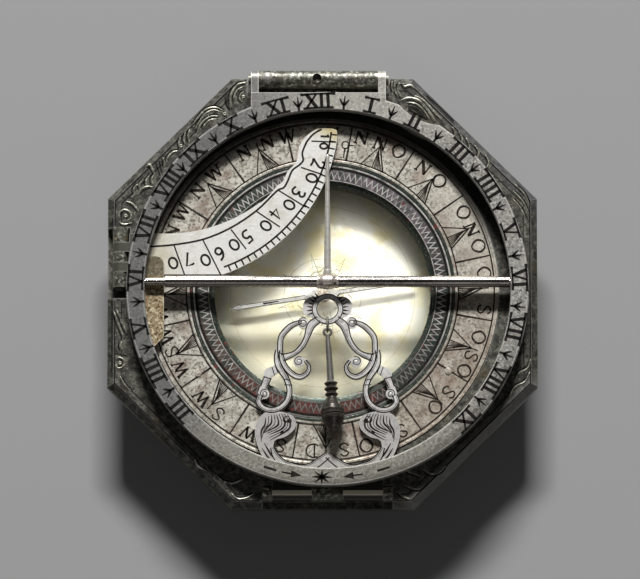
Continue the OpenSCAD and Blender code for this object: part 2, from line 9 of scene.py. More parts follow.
import logging
from dataclasses import dataclass, field
from enum import Enum
from typing import Sequence

import bpy
import numpy as np
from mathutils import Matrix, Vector


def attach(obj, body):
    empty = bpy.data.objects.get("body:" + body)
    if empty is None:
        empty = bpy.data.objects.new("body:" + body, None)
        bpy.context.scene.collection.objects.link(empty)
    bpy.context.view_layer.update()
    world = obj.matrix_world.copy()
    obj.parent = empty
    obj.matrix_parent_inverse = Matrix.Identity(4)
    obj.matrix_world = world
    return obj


LOG = logging.getLogger("dial")
MM = 0.001
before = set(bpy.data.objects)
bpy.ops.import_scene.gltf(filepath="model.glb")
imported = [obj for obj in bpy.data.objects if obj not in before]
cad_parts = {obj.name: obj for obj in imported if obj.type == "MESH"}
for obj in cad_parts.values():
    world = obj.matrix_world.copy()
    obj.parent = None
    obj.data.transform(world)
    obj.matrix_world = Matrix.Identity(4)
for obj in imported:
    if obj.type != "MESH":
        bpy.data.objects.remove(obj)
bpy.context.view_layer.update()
Array = np.ndarray
Way = Sequence[Sequence[float]]
Triple = tuple[float, float, float]
Tree = bpy.types.NodeTree
Socket = bpy.types.NodeSocket

# How far a noise texture strays about its middle of 0.5, from its lowest patches to its highest.
NOISE_SPREAD = 0.45
# How far each step of a stain's seed moves its noise, in patches.
SEED_STEP = (7.3, 3.1, 5.7)
# Millimetres from the compass's centre, towards a band's side, over which the band fades in.
BAND_LEAN = (6.0, 15.0)


def linear(code: str) -> tuple[float, float, float, float]:
    """Turns an sRGB hex value into the linear colour a shader takes.

    Args:
        code: the colour as "#rrggbb".

    Returns:
        Linear red, green, blue and an alpha of 1.
    """
    c = np.array([int(code[i : i + 2], 16) for i in (1, 3, 5)]) / 255
    c = np.where(c <= 0.04045, c / 12.92, ((c + 0.055) / 1.055) ** 2.4)
    return (*c.tolist(), 1.0)


def add(tree: Tree, kind: str, settings: dict | None = None, links: dict | None = None,
        out: int | str = 0) -> Socket | None:
    """Adds one shader node with its settings and links.

    Args:
        tree: the material's or world's node tree.
        kind: the node's type without its ShaderNode prefix.
        settings: values by socket name, socket number or node property.
        links: output sockets by the name or number of the input they feed.
        out: the name or number of the output that is wanted.

    Returns:
        That output, or None where the node has no outputs.
    """
    node = tree.nodes.new("ShaderNode" + kind)
    for name, value in (settings or {}).items():
        if isinstance(name, int) or name in node.inputs:
            node.inputs[name].default_value = value
        else:
            setattr(node, name, value)
    for name, source in (links or {}).items():
        tree.links.new(source, node.inputs[name])
    return node.outputs[out] if node.outputs else None


def away(tree: Tree, place: Socket) -> Socket:
    """How far a point lies from the upright axis of the compass, in metres."""
    flat = add(tree, "VectorMath", {"operation": "MULTIPLY", 1: (1, 1, 0)}, {0: place})
    return add(tree, "VectorMath", {"operation": "LENGTH"}, {0: flat}, "Value")


@dataclass(frozen=True)
class Layer:
    """A colour that lies over a part of a surface."""

    colour: str

    def share(self, tree: Tree, place: Socket) -> Socket:
        """Builds the nodes that say how much of the layer shows at a point.

        Args:
            tree: the material's node tree.
            place: the point in the part's own coordinates, in metres.

        Returns:
            The share, from 0 to 1.
        """
        raise NotImplementedError


@dataclass(frozen=True)
class Stain(Layer):
    """Tarnish, dirt or bare metal that comes and goes in patches.

    size is a patch's size in millimetres, cover the share of the surface it takes, edge the softness
    of its outline, and stretch draws the patches out along x, y or z.
    """

    size: float
    cover: float
    edge: float = 0.08
    strength: float = 1.0
    seed: float = 0.0
    stretch: Triple = (1, 1, 1)

    def share(self, tree: Tree, place: Socket) -> Socket:
        """Noise above a level set by the share covered, softened over the edge.

        Args:
            tree: the material's node tree.
            place: the point in the part's own coordinates, in metres.

        Returns:
            The share, from 0 to the strength.
        """
        patches = add(tree, "Mapping", {"Scale": [1000 / self.size / s for s in self.stretch],
                                        "Location": [self.seed * s for s in SEED_STEP]}, {"Vector": place})
        spread = add(tree, "TexNoise", {"Scale": 1.0, "Detail": 5.0, "Roughness": 0.6}, {"Vector": patches})
        level = 0.5 + (0.5 - self.cover) * NOISE_SPREAD
        return add(tree, "MapRange", {"From Min": level - self.edge, "From Max": level + self.edge,
                                      "To Max": self.strength}, {"Value": spread})


@dataclass(frozen=True)
class Zone(Layer):
    """A colour that fades in across the dial from one line to another.

    direction is the horizontal direction in which it grows, begin and end are millimetres along it.
    """

    direction: Triple
    begin: float
    end: float
    strength: float = 1.0

    def share(self, tree: Tree, place: Socket) -> Socket:
        """How far a point lies from the begin, at 0, to the end, at the full strength."""
        reach = add(tree, "VectorMath", {"operation": "DOT_PRODUCT", 1: self.direction}, {0: place}, "Value")
        return add(tree, "MapRange", {"interpolation_type": "SMOOTHSTEP", "From Min": self.begin * MM,
                                      "From Max": self.end * MM, "To Max": self.strength}, {"Value": reach})


@dataclass(frozen=True)
class Rim(Layer):
    """A colour that fades in outwards from one radius about the compass's centre to another."""

    begin: float
    end: float
    strength: float = 1.0

    def share(self, tree: Tree, place: Socket) -> Socket:
        """How far a point lies from the first radius, at 0, to the last, at the full strength."""
        return add(tree, "MapRange", {
            "interpolation_type": "SMOOTHSTEP", "From Min": self.begin * MM, "From Max": self.end * MM,
            "To Max": self.strength}, {"Value": away(tree, place)})


@dataclass(frozen=True)
class Band(Layer):
    """A colour kept between two radii about the compass's centre, strongest on one side of it.

    side is the direction of that side, and fade how far the band reaches past each radius.
    """

    inner: float
    outer: float
    side: Triple
    strength: float = 1.0
    fade: float = 0.15

    def share(self, tree: Tree, place: Socket) -> Socket:
        """The lean towards the side, kept where it lies inside each radius.

        Args:
            tree: the material's node tree.
            place: the point in the part's own coordinates, in metres.

        Returns:
            The share, from 0 to the strength.
        """
        share = Zone(self.colour, self.side, *BAND_LEAN, self.strength).share(tree, place)
        reach = away(tree, place)
        for radius, past in ((self.inner, -self.fade), (self.outer, self.fade)):
            inside = add(tree, "MapRange", {"From Min": (radius + past) * MM, "From Max": radius * MM},
                         {"Value": reach})
            share = add(tree, "Math", {"operation": "MULTIPLY"}, {0: share, 1: inside})
        return share


@dataclass(frozen=True)
class Rubbed(Layer):
    """Edges worn bright, over a radius in millimetres.

    flat and sharp are cosines of the angle between the face's own normal and the one averaged over
    the radius: the wear starts at the first and is full at the second.
    """

    radius: float
    flat: float = 0.995
    sharp: float = 0.9
    strength: float = 0.85

    def share(self, tree: Tree, place: Socket) -> Socket:
        """Grows on an edge, as the normal averaged over the radius leaves the face's own.

        Args:
            tree: the material's node tree.
            place: not used, as wear follows the edges.

        Returns:
            The share, from 0 to the strength.
        """
        soft = add(tree, "Bevel", {"samples": 4, "Radius": self.radius * MM})
        own = add(tree, "NewGeometry", out="Normal")
        same = add(tree, "VectorMath", {"operation": "DOT_PRODUCT"}, {0: soft, 1: own}, "Value")
        return add(tree, "MapRange", {"From Min": self.flat, "From Max": self.sharp,
                                      "To Max": self.strength}, {"Value": same})


@dataclass(frozen=True)
class Finish:
    """What a piece is dressed in: a material that is built once and then shared."""

    name: str

    def material(self) -> bpy.types.Material:
        """Builds the material the first time it is asked for.

        Returns:
            The material.
        """
        ready = bpy.data.materials.get(self.name)
        if ready:
            return ready
        made = bpy.data.materials.new(self.name)
        made.use_nodes = True
        tree = made.node_tree
        tree.nodes.clear()
        surface = self.shader(tree, add(tree, "TexCoord", out="Object"))
        add(tree, "OutputMaterial", links={"Surface": surface})
        return made

    def shader(self, tree: Tree, place: Socket) -> Socket:
        """Builds the surface's nodes.

        Args:
            tree: the material's empty node tree.
            place: the point in the part's own coordinates, in metres.

        Returns:
            The shader that goes to the output.
        """
        raise NotImplementedError


def laid(tree: Tree, place: Socket, colour: Socket, layers: Sequence[Layer]) -> Socket:
    """Lays the colours of layers over one another, each by its own share.

    Args:
        tree: the material's node tree.
        place: the point in the part's own coordinates, in metres.
        colour: what lies under them all.
        layers: from the lowest to the topmost.

    Returns:
        The colour seen.
    """
    for layer in layers:
        colour = add(tree, "Mix", {"data_type": "RGBA", 7: linear(layer.colour)},
                     {0: layer.share(tree, place), 6: colour}, 2)
    return colour


@dataclass(frozen=True)
class MetalFinish(Finish):
    """A metal with its patina, made of layers of colour in the part's own coordinates.

    grain is the size of the fine unevenness and dent its height, both in millimetres. The layers go
    from the lowest to the topmost, and brushed draws the grain out along x, y or z.
    """

    colour: str
    metallic: float
    roughness: tuple[float, float]
    grain: float
    dent: float
    layers: tuple[Layer, ...]
    brushed: Triple = (1, 1, 1)

    def shader(self, tree: Tree, place: Socket) -> Socket:
        """Lays the layers over the metal's colour; one fine noise gives the roughness and the dents.

        Args:
            tree: the material's empty node tree.
            place: the point in the part's own coordinates, in metres.

        Returns:
            The metal's shader.
        """
        bare = add(tree, "RGB")
        bare.default_value = linear(self.colour)
        colour = laid(tree, place, bare, self.layers)
        fine = add(tree, "Mapping", {"Scale": [1000 / self.grain / s for s in self.brushed]},
                   {"Vector": place})
        grain = add(tree, "TexNoise", {"Scale": 1.0, "Detail": 4.0}, {"Vector": fine})
        low, high = self.roughness
        rough = add(tree, "MapRange", {"From Min": 0.3, "From Max": 0.7, "To Min": low, "To Max": high},
                    {"Value": grain})
        bump = add(tree, "Bump", {"Distance": self.dent * MM}, {"Height": grain})
        return add(tree, "BsdfPrincipled", {"Metallic": self.metallic},
                   {"Base Color": colour, "Roughness": rough, "Normal": bump})


# Cast brass under old dirt: a dark brown grey field, mottled, and a little shiny where it is rubbed. It is
# lighter on the north-east bevel, with a painted highlight on the south-east bevel and a near-black painted
# shadow of the hour ring in a band round the ring's seat on the north side.
PLATE_BRASS = MetalFinish(
    "patinated_brass", "#4d4c46", 0.5, (0.38, 0.56), 0.3, 0.02, (
        Stain("#7d7c71", 0.9, 0.4, 0.07, 0.8, 1), Stain("#272622", 0.7, 0.4, 0.07, 0.85, 2),
        Stain("#a3a294", 0.3, 0.16, 0.04, 0.8, 3), Stain("#6b5836", 4.0, 0.14, 0.08, 0.4, 4),
        # Lighter towards the north-east bevel, then a painted highlight on the south-east bevel.
        Zone("#65646a", (0.72, 0.7, 0), 28.6, 31, 0.5), Zone("#8b8a86", (0.7, -0.71, 0), 28.4, 30, 0.6),
        # Painted shadow: the near-black band on the north side, where the hour ring's shadow falls on its
        # seat. Then edges worn bright.
        Band("#0d0c0b", 24.4, 26.4, (0.1, 1, 0), 0.92), Rubbed("#a3a29c", 0.28)))
# Chased high spots of the same brass, rubbed to a greenish white shine.
CHASED_BRASS = MetalFinish(
    "chased_brass", "#8f8e80", 0.55, (0.28, 0.44), 0.2, 0.006, (
        Stain("#d3d2c4", 0.5, 0.36, 0.08, 0.9, 5), Stain("#4b4a42", 0.6, 0.34, 0.08, 0.85, 6)))
# Silver rolled thin and toned: coarse grey mottling, slate on the west, smooth and warm in the south, with
# painted shade along its outer edge in the south where a rounded edge would turn from the light.
RING_SILVER = MetalFinish(
    "toned_silver", "#97958f", 0.55, (0.38, 0.56), 0.2, 0.014, (
        Stain("#c9c7c0", 0.42, 0.42, 0.05, 0.8, 7), Stain("#5b5954", 0.36, 0.36, 0.04, 0.85, 8),
        Stain("#a09a8e", 2.2, 0.3, 0.1, 0.5, 9), Stain("#3d3b37", 0.2, 0.12, 0.03, 0.7, 40),
        Zone("#c2beb3", (0.1, 1, 0), 22, 26, 0.35), Zone("#58585a", (-1, 0.22, 0), 4, 20, 0.7),
        # The band is painted shade on the outer edge in the south.
        Zone("#85816f", (0, -1, 0), 14, 25, 0.42), Band("#45423b", 27.7, 28.4, (0.05, -1, 0), 0.5, 0.7),
        Rubbed("#eceae3", 0.24)))
# Silver with black speckle and a few reddish brown islands, and near-black painted shade along its outer
# edge on the north side, under the hour ring.
ROSE_SILVER = MetalFinish(
    "speckled_silver", "#bdb7aa", 0.5, (0.36, 0.54), 0.25, 0.014, (
        Stain("#e0dccf", 1.5, 0.48, 0.08, 0.9, 11), Stain("#8a6a5a", 3.4, 0.32, 0.06, 0.6, 12),
        Stain("#6b6357", 0.4, 0.38, 0.04, 0.8, 13), Stain("#3d362e", 0.24, 0.18, 0.03, 0.8, 14),
        Stain("#7c7364", 5.0, 0.3, 0.1, 0.5, 41), Zone("#94806c", (0.75, -0.66, 0), 12, 24, 0.45),
        # The last band is painted shade under the hour ring's north edge.
        Zone("#ddd7c8", (0.9, 0.42, 0), 17, 22, 0.4), Band("#171512", 24.1, 25, (0.12, 1, 0), 0.85, 1.0)))
# Silver kept under the hour ring, nearly white, with yellow tarnish at its tip and foot.
ARC_SILVER = MetalFinish(
    "pale_silver", "#f4f2ec", 0.45, (0.34, 0.5), 0.3, 0.005, (
        Stain("#cfc9b4", 2.6, 0.3, 0.08, 0.5, 15), Stain("#f5f4f0", 2.0, 0.4, 0.1, 0.6, 16),
        Stain("#6d6656", 0.22, 0.08, 0.03, 0.7, 10), Stain("#b3a078", 1.1, 0.1, 0.06, 0.5, 44),
        Zone("#d0bd7c", (0.55, 0.84, 0), 17.6, 20, 0.8), Zone("#cfc6a6", (-1, 0, 0), 18, 24, 0.6),
        Zone("#56554b", (-1, 0, 0), 25.0, 25.8), Rubbed("#f4f3ee", 0.1)))
# Pierced silver, polished and pale, grey in patches. Across its hinge knuckles there is painted shade in
# dark strips, with a painted highlight in a thin pale strip along their tops.
BRACKET_SILVER = MetalFinish(
    "bright_silver", "#dedbd7", 0.4, (0.3, 0.46), 0.2, 0.008, (
        Stain("#9a9795", 0.6, 0.32, 0.07, 0.75, 17), Stain("#f0eeea", 1.1, 0.34, 0.08, 0.8, 18),
        # Greyer towards the hinge; then painted shade over the knuckles, a painted highlight along their
        # tops, and painted shade again past it.
        Zone("#a9a6a1", (0, -1, 0), 16.6, 18, 0.55), Zone("#1b1a16", (0, -1, 0), 25.9, 26.4, 0.96),
        Zone("#fbf4da", (0, -1, 0), 28.3, 28.42, 0.96), Zone("#1b1a16", (0, -1, 0), 28.98, 29.1, 0.96),
        Rubbed("#f4f3ef", 0.08)))
# Drawn silver rod: smooth, so that its top line shines between dark flanks.
ROD_SILVER = MetalFinish(
    "rod_silver", "#a8a19b", 1.0, (0.18, 0.3), 0.2, 0.004, (
        Stain("#4d4743", 1.2, 0.34, 0.06, 0.7, 19, (6, 1, 1)), Stain("#a39a95", 0.8, 0.3, 0.08, 0.7, 20)))
# Brass still gilt: gold speckle with fine brown specks, grey where the gold has gone.
WORN_GILT = MetalFinish(
    "worn_gilt", "#a08d6d", 0.55, (0.34, 0.55), 0.2, 0.014, (
        Stain("#e6d8b6", 0.5, 0.42, 0.05, 0.9, 21), Stain("#4d3925", 0.34, 0.36, 0.04, 0.95, 22),
        Stain("#b07f45", 1.6, 0.2, 0.06, 0.6, 43), Zone("#5f5a4a", (0, 1, 0), 1.2, 2.4, 0.75),
        Rubbed("#e6dfc8", 0.16)))
# The boss of the bar: gilding worn to a pinkish grey, black in its grooves.
BOSS_GILT = MetalFinish(
    "boss_gilt", "#dccfc3", 0.8, (0.22, 0.38), 0.2, 0.008, (
        Stain("#3a3029", 0.5, 0.32, 0.06, 0.85, 35), Stain("#f2e6dd", 0.5, 0.36, 0.06, 0.85, 36)))
# Hinge brass gone nearly black, with bare spots along its rounds.
HINGE_BRASS = MetalFinish(
    "blackened_brass", "#65645a", 0.5, (0.36, 0.54), 0.22, 0.014, (
        Stain("#2b2a24", 0.6, 0.38, 0.07, 0.85, 23), Stain("#b5b6a8", 0.5, 0.34, 0.05, 0.85, 24),
        Stain("#8a7440", 2.0, 0.14, 0.05, 0.6, 25, (3, 1, 1)), Rubbed("#a9a797", 0.12)))
# Worn silver: pale and a little grey, for the rivet at the ring's hinge and the bar's pin.
RIVET_SILVER = MetalFinish(
    "rivet_silver", "#dedad2", 0.6, (0.3, 0.44), 0.2, 0.006, (Stain("#a8a39a", 0.5, 0.3, 0.08, 0.6, 37),))
# Bronze aged brown, its stem grey, bright along the crest of each bead, warmer at the tip.
BOB_BRONZE = MetalFinish(
    "aged_bronze", "#46423d", 0.7, (0.26, 0.4), 0.22, 0.006, (
        Stain("#2b2722", 0.9, 0.36, 0.08, 0.8, 26), Stain("#857f74", 0.5, 0.25, 0.07, 0.6, 27),
        Zone("#8c8983", (0, 1, 0), -13.8, -12.8, 0.75), Zone("#553f30", (0, -1, 0), 20.2, 21.6, 0.6),
        Rubbed("#aba598", 0.14)))
# Soft iron drawn and filed bright.
NEEDLE_STEEL = MetalFinish(
    "filed_steel", "#d0cfcc", 0.5, (0.26, 0.4), 0.2, 0.004, (Stain("#7b7a77", 0.8, 0.3, 0.07, 0.6, 28),),
    (3, 1, 1))
# The compass box's brass: grey and dull, paler in spots, yellower where its edges are rubbed.
BOX_BRASS = MetalFinish(
    "box_brass", "#7a7866", 0.6, (0.42, 0.6), 0.4, 0.012, (
        Stain("#4c4a3e", 3.5, 0.45, 0.1, 0.8, 29), Stain("#98937a", 1.6, 0.25, 0.08, 0.6, 30),
        Rubbed("#b7a67a", 0.2)))
# The glass ring: dark brass, green in its inner band, red and mauve remains under the teeth.
BEZEL_BRASS = MetalFinish(
    "verdigris_brass", "#3d4039", 0.62, (0.34, 0.54), 0.2, 0.018, (
        Band("#85787f", 15.95, 17.35, (0.5, 0.85, 0), 0.9), Band("#3c3634", 16, 17.4, (1, -0.4, 0), 0.7),
        Band("#8c3f38", 16, 17.5, (-0.4, -0.92, 0), 0.55), Band("#5c5f56", 15.9, 17.3, (-1, 0.1, 0), 0.7),
        Stain("#2a3a34", 0.9, 0.45, 0.08, 0.8, 31), Stain("#8a9083", 0.3, 0.24, 0.05, 0.8, 32),
        Stain("#8a2f2a", 1.1, 0.14, 0.04, 0.8, 42)))
# Thin rubbed crests of the teeth and lines cut on the glass ring.
CREST_SILVER = MetalFinish(
    "crest_silver", "#dedad4", 0.5, (0.26, 0.4), 0.2, 0.005, (
        Band("#5b5650", 15, 19, (0.2, -1, 0), 0.7), Stain("#8d8386", 0.8, 0.34, 0.08, 0.7, 38),
        Stain("#4d4d46", 1.5, 0.3, 0.08, 0.8, 39)))


@dataclass(frozen=True)
class PaintFinish(Finish):
    """A dull filling or print that isn't metal: wax and soot in a cut, or ink on paper."""

    colour: str
    second: str
    size: float
    roughness: float

    def shader(self, tree: Tree, place: Socket) -> Socket:
        """Two colours in patches of a size in millimetres, rougher where the second one shows.

        Args:
            tree: the material's empty node tree.
            place: the point in the part's own coordinates, in metres.

        Returns:
            The filling's shader.
        """
        spread = add(tree, "TexNoise", {"Scale": 1000 / self.size, "Detail": 4.0}, {"Vector": place})
        share = add(tree, "MapRange", {"From Min": 0.42, "From Max": 0.62}, {"Value": spread})
        colour = add(tree, "Mix", {"data_type": "RGBA", 6: linear(self.colour), 7: linear(self.second)},
                     {0: share}, 2)
        rough = add(tree, "MapRange", {"To Min": self.roughness - 0.1, "To Max": self.roughness + 0.1},
                    {"Value": spread})
        return add(tree, "BsdfPrincipled", {"Specular IOR Level": 0.15},
                   {"Base Color": colour, "Roughness": rough})


# Black wax and soot rubbed into the engraving, greyer where it has come out.
CUT_FILL = PaintFinish("cut_fill", "#0c0b09", "#24211d", 0.5, 0.7)
# The same filling gone brown on the wind rose.
ROSE_FILL = PaintFinish("rose_fill", "#17120e", "#3a3128", 0.5, 0.7)
# The same filling under the old dirt of the plate.
PLATE_FILL = PaintFinish("plate_fill", "#100f0d", "#24231e", 0.5, 0.65)
# The same filling in finer lines, nearly black, on the arc, the bracket and the needle.
ARC_FILL = PaintFinish("arc_fill", "#12100d", "#2e2a24", 0.6, 0.65)
# Printer's ink on the card, faded to a pale greenish brown.
CARD_INK = PaintFinish("card_ink", "#9a9777", "#c2bf9f", 0.8, 0.75)


@dataclass(frozen=True)
class PaperFinish(Finish):
    """The compass card: paper gone cream, with yellow patches, darker in the south and green at its rim."""

    name: str = "aged_card"
    colour: str = "#f4f1e6"
    patch: str = "#ece0b0"
    patch_size: float = 25 / 6
    layers: tuple[Layer, ...] = (
        Zone("#e0dac2", (-0.35, -0.94, 0), 1, 9, 0.85), Rim("#85857a", 11.5, 15.2, 0.85),
        Stain("#a89f74", 0.5, 0.12, 0.05, 0.45, 50), Stain("#c9bf93", 2.2, 0.26, 0.06, 0.4, 51))

    def shader(self, tree: Tree, place: Socket) -> Socket:
        """Patches, the darker south, the green rim and then the specks, one over the other.

        Args:
            tree: the material's empty node tree.
            place: the point in the part's own coordinates, in metres.

        Returns:
            The card's shader.
        """
        spread = add(tree, "TexNoise", {"Scale": 1000 / self.patch_size, "Detail": 5.0}, {"Vector": place})
        share = add(tree, "MapRange", {"From Min": 0.46, "From Max": 0.62, "To Max": 0.9}, {"Value": spread})
        colour = add(tree, "Mix", {"data_type": "RGBA", 6: linear(self.colour), 7: linear(self.patch)},
                     {0: share}, 2)
        bump = add(tree, "Bump", {"Distance": 0.01 * MM}, {"Height": spread})
        return add(tree, "BsdfPrincipled", {"Roughness": 0.75},
                   {"Base Color": laid(tree, place, colour, self.layers), "Normal": bump})


@dataclass(frozen=True)
class GlassFinish(Finish):
    """Old crown glass: clear and faintly grey, with slow ripples that bend its reflections."""

    name: str = "crown_glass"
    colour: str = "#f8f8f6"
    ripple_size: float = 6.25
    ripple_height: float = 0.03

    def shader(self, tree: Tree, place: Socket) -> Socket:
        """Rippled glass to the eye, and clear to shadow rays so that light reaches the card.

        Args:
            tree: the material's empty node tree.
            place: the point in the part's own coordinates, in metres.

        Returns:
            The glass's shader.
        """
        ripple = add(tree, "TexNoise", {"Scale": 1000 / self.ripple_size, "Detail": 1.0}, {"Vector": place})
        bump = add(tree, "Bump", {"Distance": self.ripple_height * MM}, {"Height": ripple})
        seen = add(tree, "BsdfPrincipled", {
            "Base Color": linear(self.colour), "Roughness": 0.03, "IOR": 1.5, "Transmission Weight": 1.0},
            {"Normal": bump})
        clear = add(tree, "BsdfTransparent", {"Color": linear(self.colour)})
        shadow = add(tree, "LightPath", out="Is Shadow Ray")
        return add(tree, "MixShader", links={0: shadow, 1: seen, 2: clear})


@dataclass
class Solid:
    """Points in millimetres and faces as arrays of point numbers, one array for each face size."""

    points: Array
    faces: list[Array]


class Section(Enum):
    """Outline carried along a path: half widths across, and heights (below 0 they go into the metal)."""

    CUT = ((-1, -1), (1, -1), (1, 1), (-1, 1))
    CARVED = ((-1, -1), (1, -1), (1, 0.02), (0.8, 0.6), (0.35, 0.96),
              (-0.35, 0.96), (-0.8, 0.6), (-1, 0.02))
    RIDGE = ((-1, -1), (1, -1), (1, 0.02), (0.15, 1), (-0.15, 1), (-1, 0.02))


def smooth(points: Way, steps: int = 5) -> Array:
    """Draws a flowing curve through points.

    Each stretch is the cubic whose slope at a point is half the step between its neighbours.

    Args:
        points: rows of x, y and any further values carried along.
        steps: new points in each stretch.

    Returns:
        The curve as rows of the same width.
    """
    p = np.asarray(points, float)
    padded = np.vstack([2 * p[0] - p[1], p, 2 * p[-1] - p[-2]])
    t = (np.arange(steps) / steps)[:, None]
    a, b, c, d = (padded[i : len(p) - 1 + i, None] for i in range(4))
    curve = 0.5 * (2 * b + (c - a) * t + (2 * a - 5 * b + 4 * c - d) * t**2
                   + (3 * b - a - 3 * c + d) * t**3)
    return np.vstack([curve.reshape(-1, p.shape[1]), p[-1:]])


def oval(x: float, y: float, rx: float, ry: float, count: int = 18) -> Array:
    """Points of an oval about (x, y)."""
    turn = np.linspace(0, 2 * np.pi, count, endpoint=False)
    return np.stack([x + rx * np.cos(turn), y + ry * np.sin(turn)], 1)


def left_of(path: Array, closed: bool = False) -> Array:
    """Unit normals to the left of a path, square to the step between each point's neighbours.

    Args:
        path: rows of x, y.
        closed: whether the last row joins the first.

    Returns:
        One normal for each row.
    """
    step = np.roll(path, -1, 0) - np.roll(path, 1, 0) if closed else np.gradient(path, axis=0)
    step /= np.maximum(np.linalg.norm(step, axis=1, keepdims=True), 1e-9)
    return np.stack([-step[:, 1], step[:, 0]], 1)


def carried(path: Array, half: Array, rise: Array, section: Section, sink: float, closed: bool) -> Solid:
    """Carries a section along a path on a flat face, as a closed solid.

    Point (i, j) is path_i + half_i * across_j along the left normal, at height rise_i * up_j, or
    sink below the face for the section's underside.

    Args:
        path: rows of x, y.
        half: half the width at each row.
        rise: the height at each row.
        section: the outline carried.
        sink: depth of the underside.
        closed: whether the last row joins the first.

    Returns:
        The solid, with height measured from the face.
    """
    outline = np.array(section.value, float)
    n, k = len(path), len(outline)
    flat = path[:, None] + left_of(path, closed)[:, None] * (half[:, None] * outline[None, :, 0])[..., None]
    up = np.where(outline[None, :, 1] > 0, rise[:, None] * outline[None, :, 1], -sink)
    points = np.concatenate([flat, up[..., None]], 2).reshape(-1, 3)
    i, j = np.meshgrid(np.arange(n if closed else n - 1), np.arange(k), indexing="ij")
    a, b = i * k + j, i * k + (j + 1) % k
    turn = n * k
    quads = np.stack([a, b, (b + k) % turn, (a + k) % turn], -1).reshape(-1, 4)
    ends = [] if closed else [np.stack([np.arange(k)[::-1], (n - 1) * k + np.arange(k)])]
    return Solid(points, [quads, *ends])


def joined(solids: Sequence[Solid]) -> Solid:
    """Puts solids into one list of points and faces.

    Args:
        solids: the solids to join.

    Returns:
        One solid that holds them all.
    """
    starts = np.cumsum([0] + [len(s.points) for s in solids])
    by_size: dict[int, list[Array]] = {}
    for solid, start in zip(solids, starts):
        for faces in solid.faces:
            by_size.setdefault(faces.shape[1], []).append(faces + start)
    return Solid(np.vstack([s.points for s in solids]), [np.vstack(f) for f in by_size.values()])


def piece(name: str, solid: Solid, finish: Finish, body: str,
          soft: bool = False) -> bpy.types.Object:
    """Writes a solid into a mesh and makes it a piece that rides on a body.

    Args:
        name: the piece's name.
        solid: its points in millimetres and its faces.
        finish: what it is dressed in.
        body: the body it moves with.
        soft: whether its faces are shaded smooth.

    Returns:
        The new object.
    """
    mesh = bpy.data.meshes.new(name)
    corners = np.concatenate([f.ravel() for f in solid.faces])
    sizes = np.concatenate([np.full(len(f), f.shape[1]) for f in solid.faces])
    mesh.vertices.add(len(solid.points))
    mesh.vertices.foreach_set("co", (solid.points * MM).astype(np.float32).ravel())
    mesh.loops.add(len(corners))
    mesh.loops.foreach_set("vertex_index", corners.astype(np.int32))
    mesh.polygons.add(len(sizes))
    mesh.polygons.foreach_set("loop_start", (np.cumsum(sizes) - sizes).astype(np.int32))
    mesh.polygons.foreach_set("use_smooth", np.full(len(sizes), soft))
    mesh.update(calc_edges=True)
    mesh.materials.append(finish.material())
    made = bpy.data.objects.new(name, mesh)
    bpy.context.scene.collection.objects.link(made)
    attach(made, body)
    LOG.info("%s: %d faces on %s", name, len(sizes), body)
    return made


def dress(node: str, finish: Finish) -> None:
    """Gives a node of the part its finish and keeps its shape.

    Args:
        node: the node's name.
        finish: what it is dressed in.
    """
    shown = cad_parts[node]
    shown.data.materials.clear()
    shown.data.materials.append(finish.material())
    LOG.info("%s: dressed in %s", node, finish.name)


@dataclass
class Graver:
    """Gathers cuts and carved strokes on one flat face at a height.

    A cut is a filled line that stands a hair proud of the face, so that it shows as a dark line,
    and a carved stroke is a rounded rib.
    """

    face: float
    proud: float = 0.012
    sink: float = 0.05
    solids: list[Solid] = field(default_factory=list)

    def keep(self, solid: Solid) -> None:
        """Lifts a solid to the face and keeps it."""
        solid.points[:, 2] += self.face
        self.solids.append(solid)

    def cut(self, path: Way, width: float | Sequence[float] | Array, closed: bool = False) -> None:
        """Adds a filled line, of one width or of a width for each point.

        Args:
            path: rows of x, y.
            width: across the line, in millimetres.
            closed: whether the last point joins the first.
        """
        way = np.asarray(path, float)
        half = np.broadcast_to(np.asarray(width, float) / 2, len(way))
        self.keep(carried(way, half, np.full(len(way), self.proud), Section.CUT, self.sink, closed))

    def ring(self, radius: float, width: float, count: int = 120,
             centre: tuple[float, float] = (0.0, 0.0)) -> None:
        """Adds a filled circle line."""
        self.cut(oval(*centre, radius, radius, count), width, closed=True)

    def carve(self, path: Way, rise: float, section: Section = Section.CARVED, steps: int = 4) -> None:
        """Adds a rib, whose height falls with the root of its width to a quarter at its thin ends.

        Args:
            path: rows of x, y and width.
            rise: the height where it is widest, in millimetres.
            section: the outline carried along it.
            steps: new points in each stretch.
        """
        way = smooth(path, steps)
        wide = np.maximum(way[:, 2], 0.02)
        height = rise * (0.25 + 0.75 * np.sqrt(wide / wide.max()))
        self.keep(carried(way[:, :2], wide / 2, height, section, self.sink, False))

    def bead(self, ring: Array, width: float, rise: float) -> None:
        """Adds a small boss: a rib so wide along a ring of points that it closes the hole."""
        way = np.column_stack([ring, np.full(len(ring), width)])
        self.carve(np.vstack([way, way[:1]]), rise, steps=2)

    def made(self) -> Solid:
        """All strokes as one solid."""
        return joined(self.solids)


@dataclass(frozen=True)
class Spot:
    """A place round a centre: an angle clockwise from north and a radius."""

    angle: float
    radius: float
    centre: tuple[float, float] = (0.0, 0.0)

    def put(self, path: Way, size: float = 1.0) -> Array:
        """Moves a local drawing, x to the right and y outwards, to this place.

        The drawing is scaled, turned clockwise by the angle and set at the radius.

        Args:
            path: rows of x, y.
            size: what the drawing is multiplied by.

        Returns:
            The drawing's points in the part's frame.
        """
        x, y = np.asarray(path, float).T * size
        turn = np.radians(self.angle)
        out = self.radius + y
        return np.stack([self.centre[0] + out * np.sin(turn) + x * np.cos(turn),
                         self.centre[1] + out * np.cos(turn) - x * np.sin(turn)], 1)


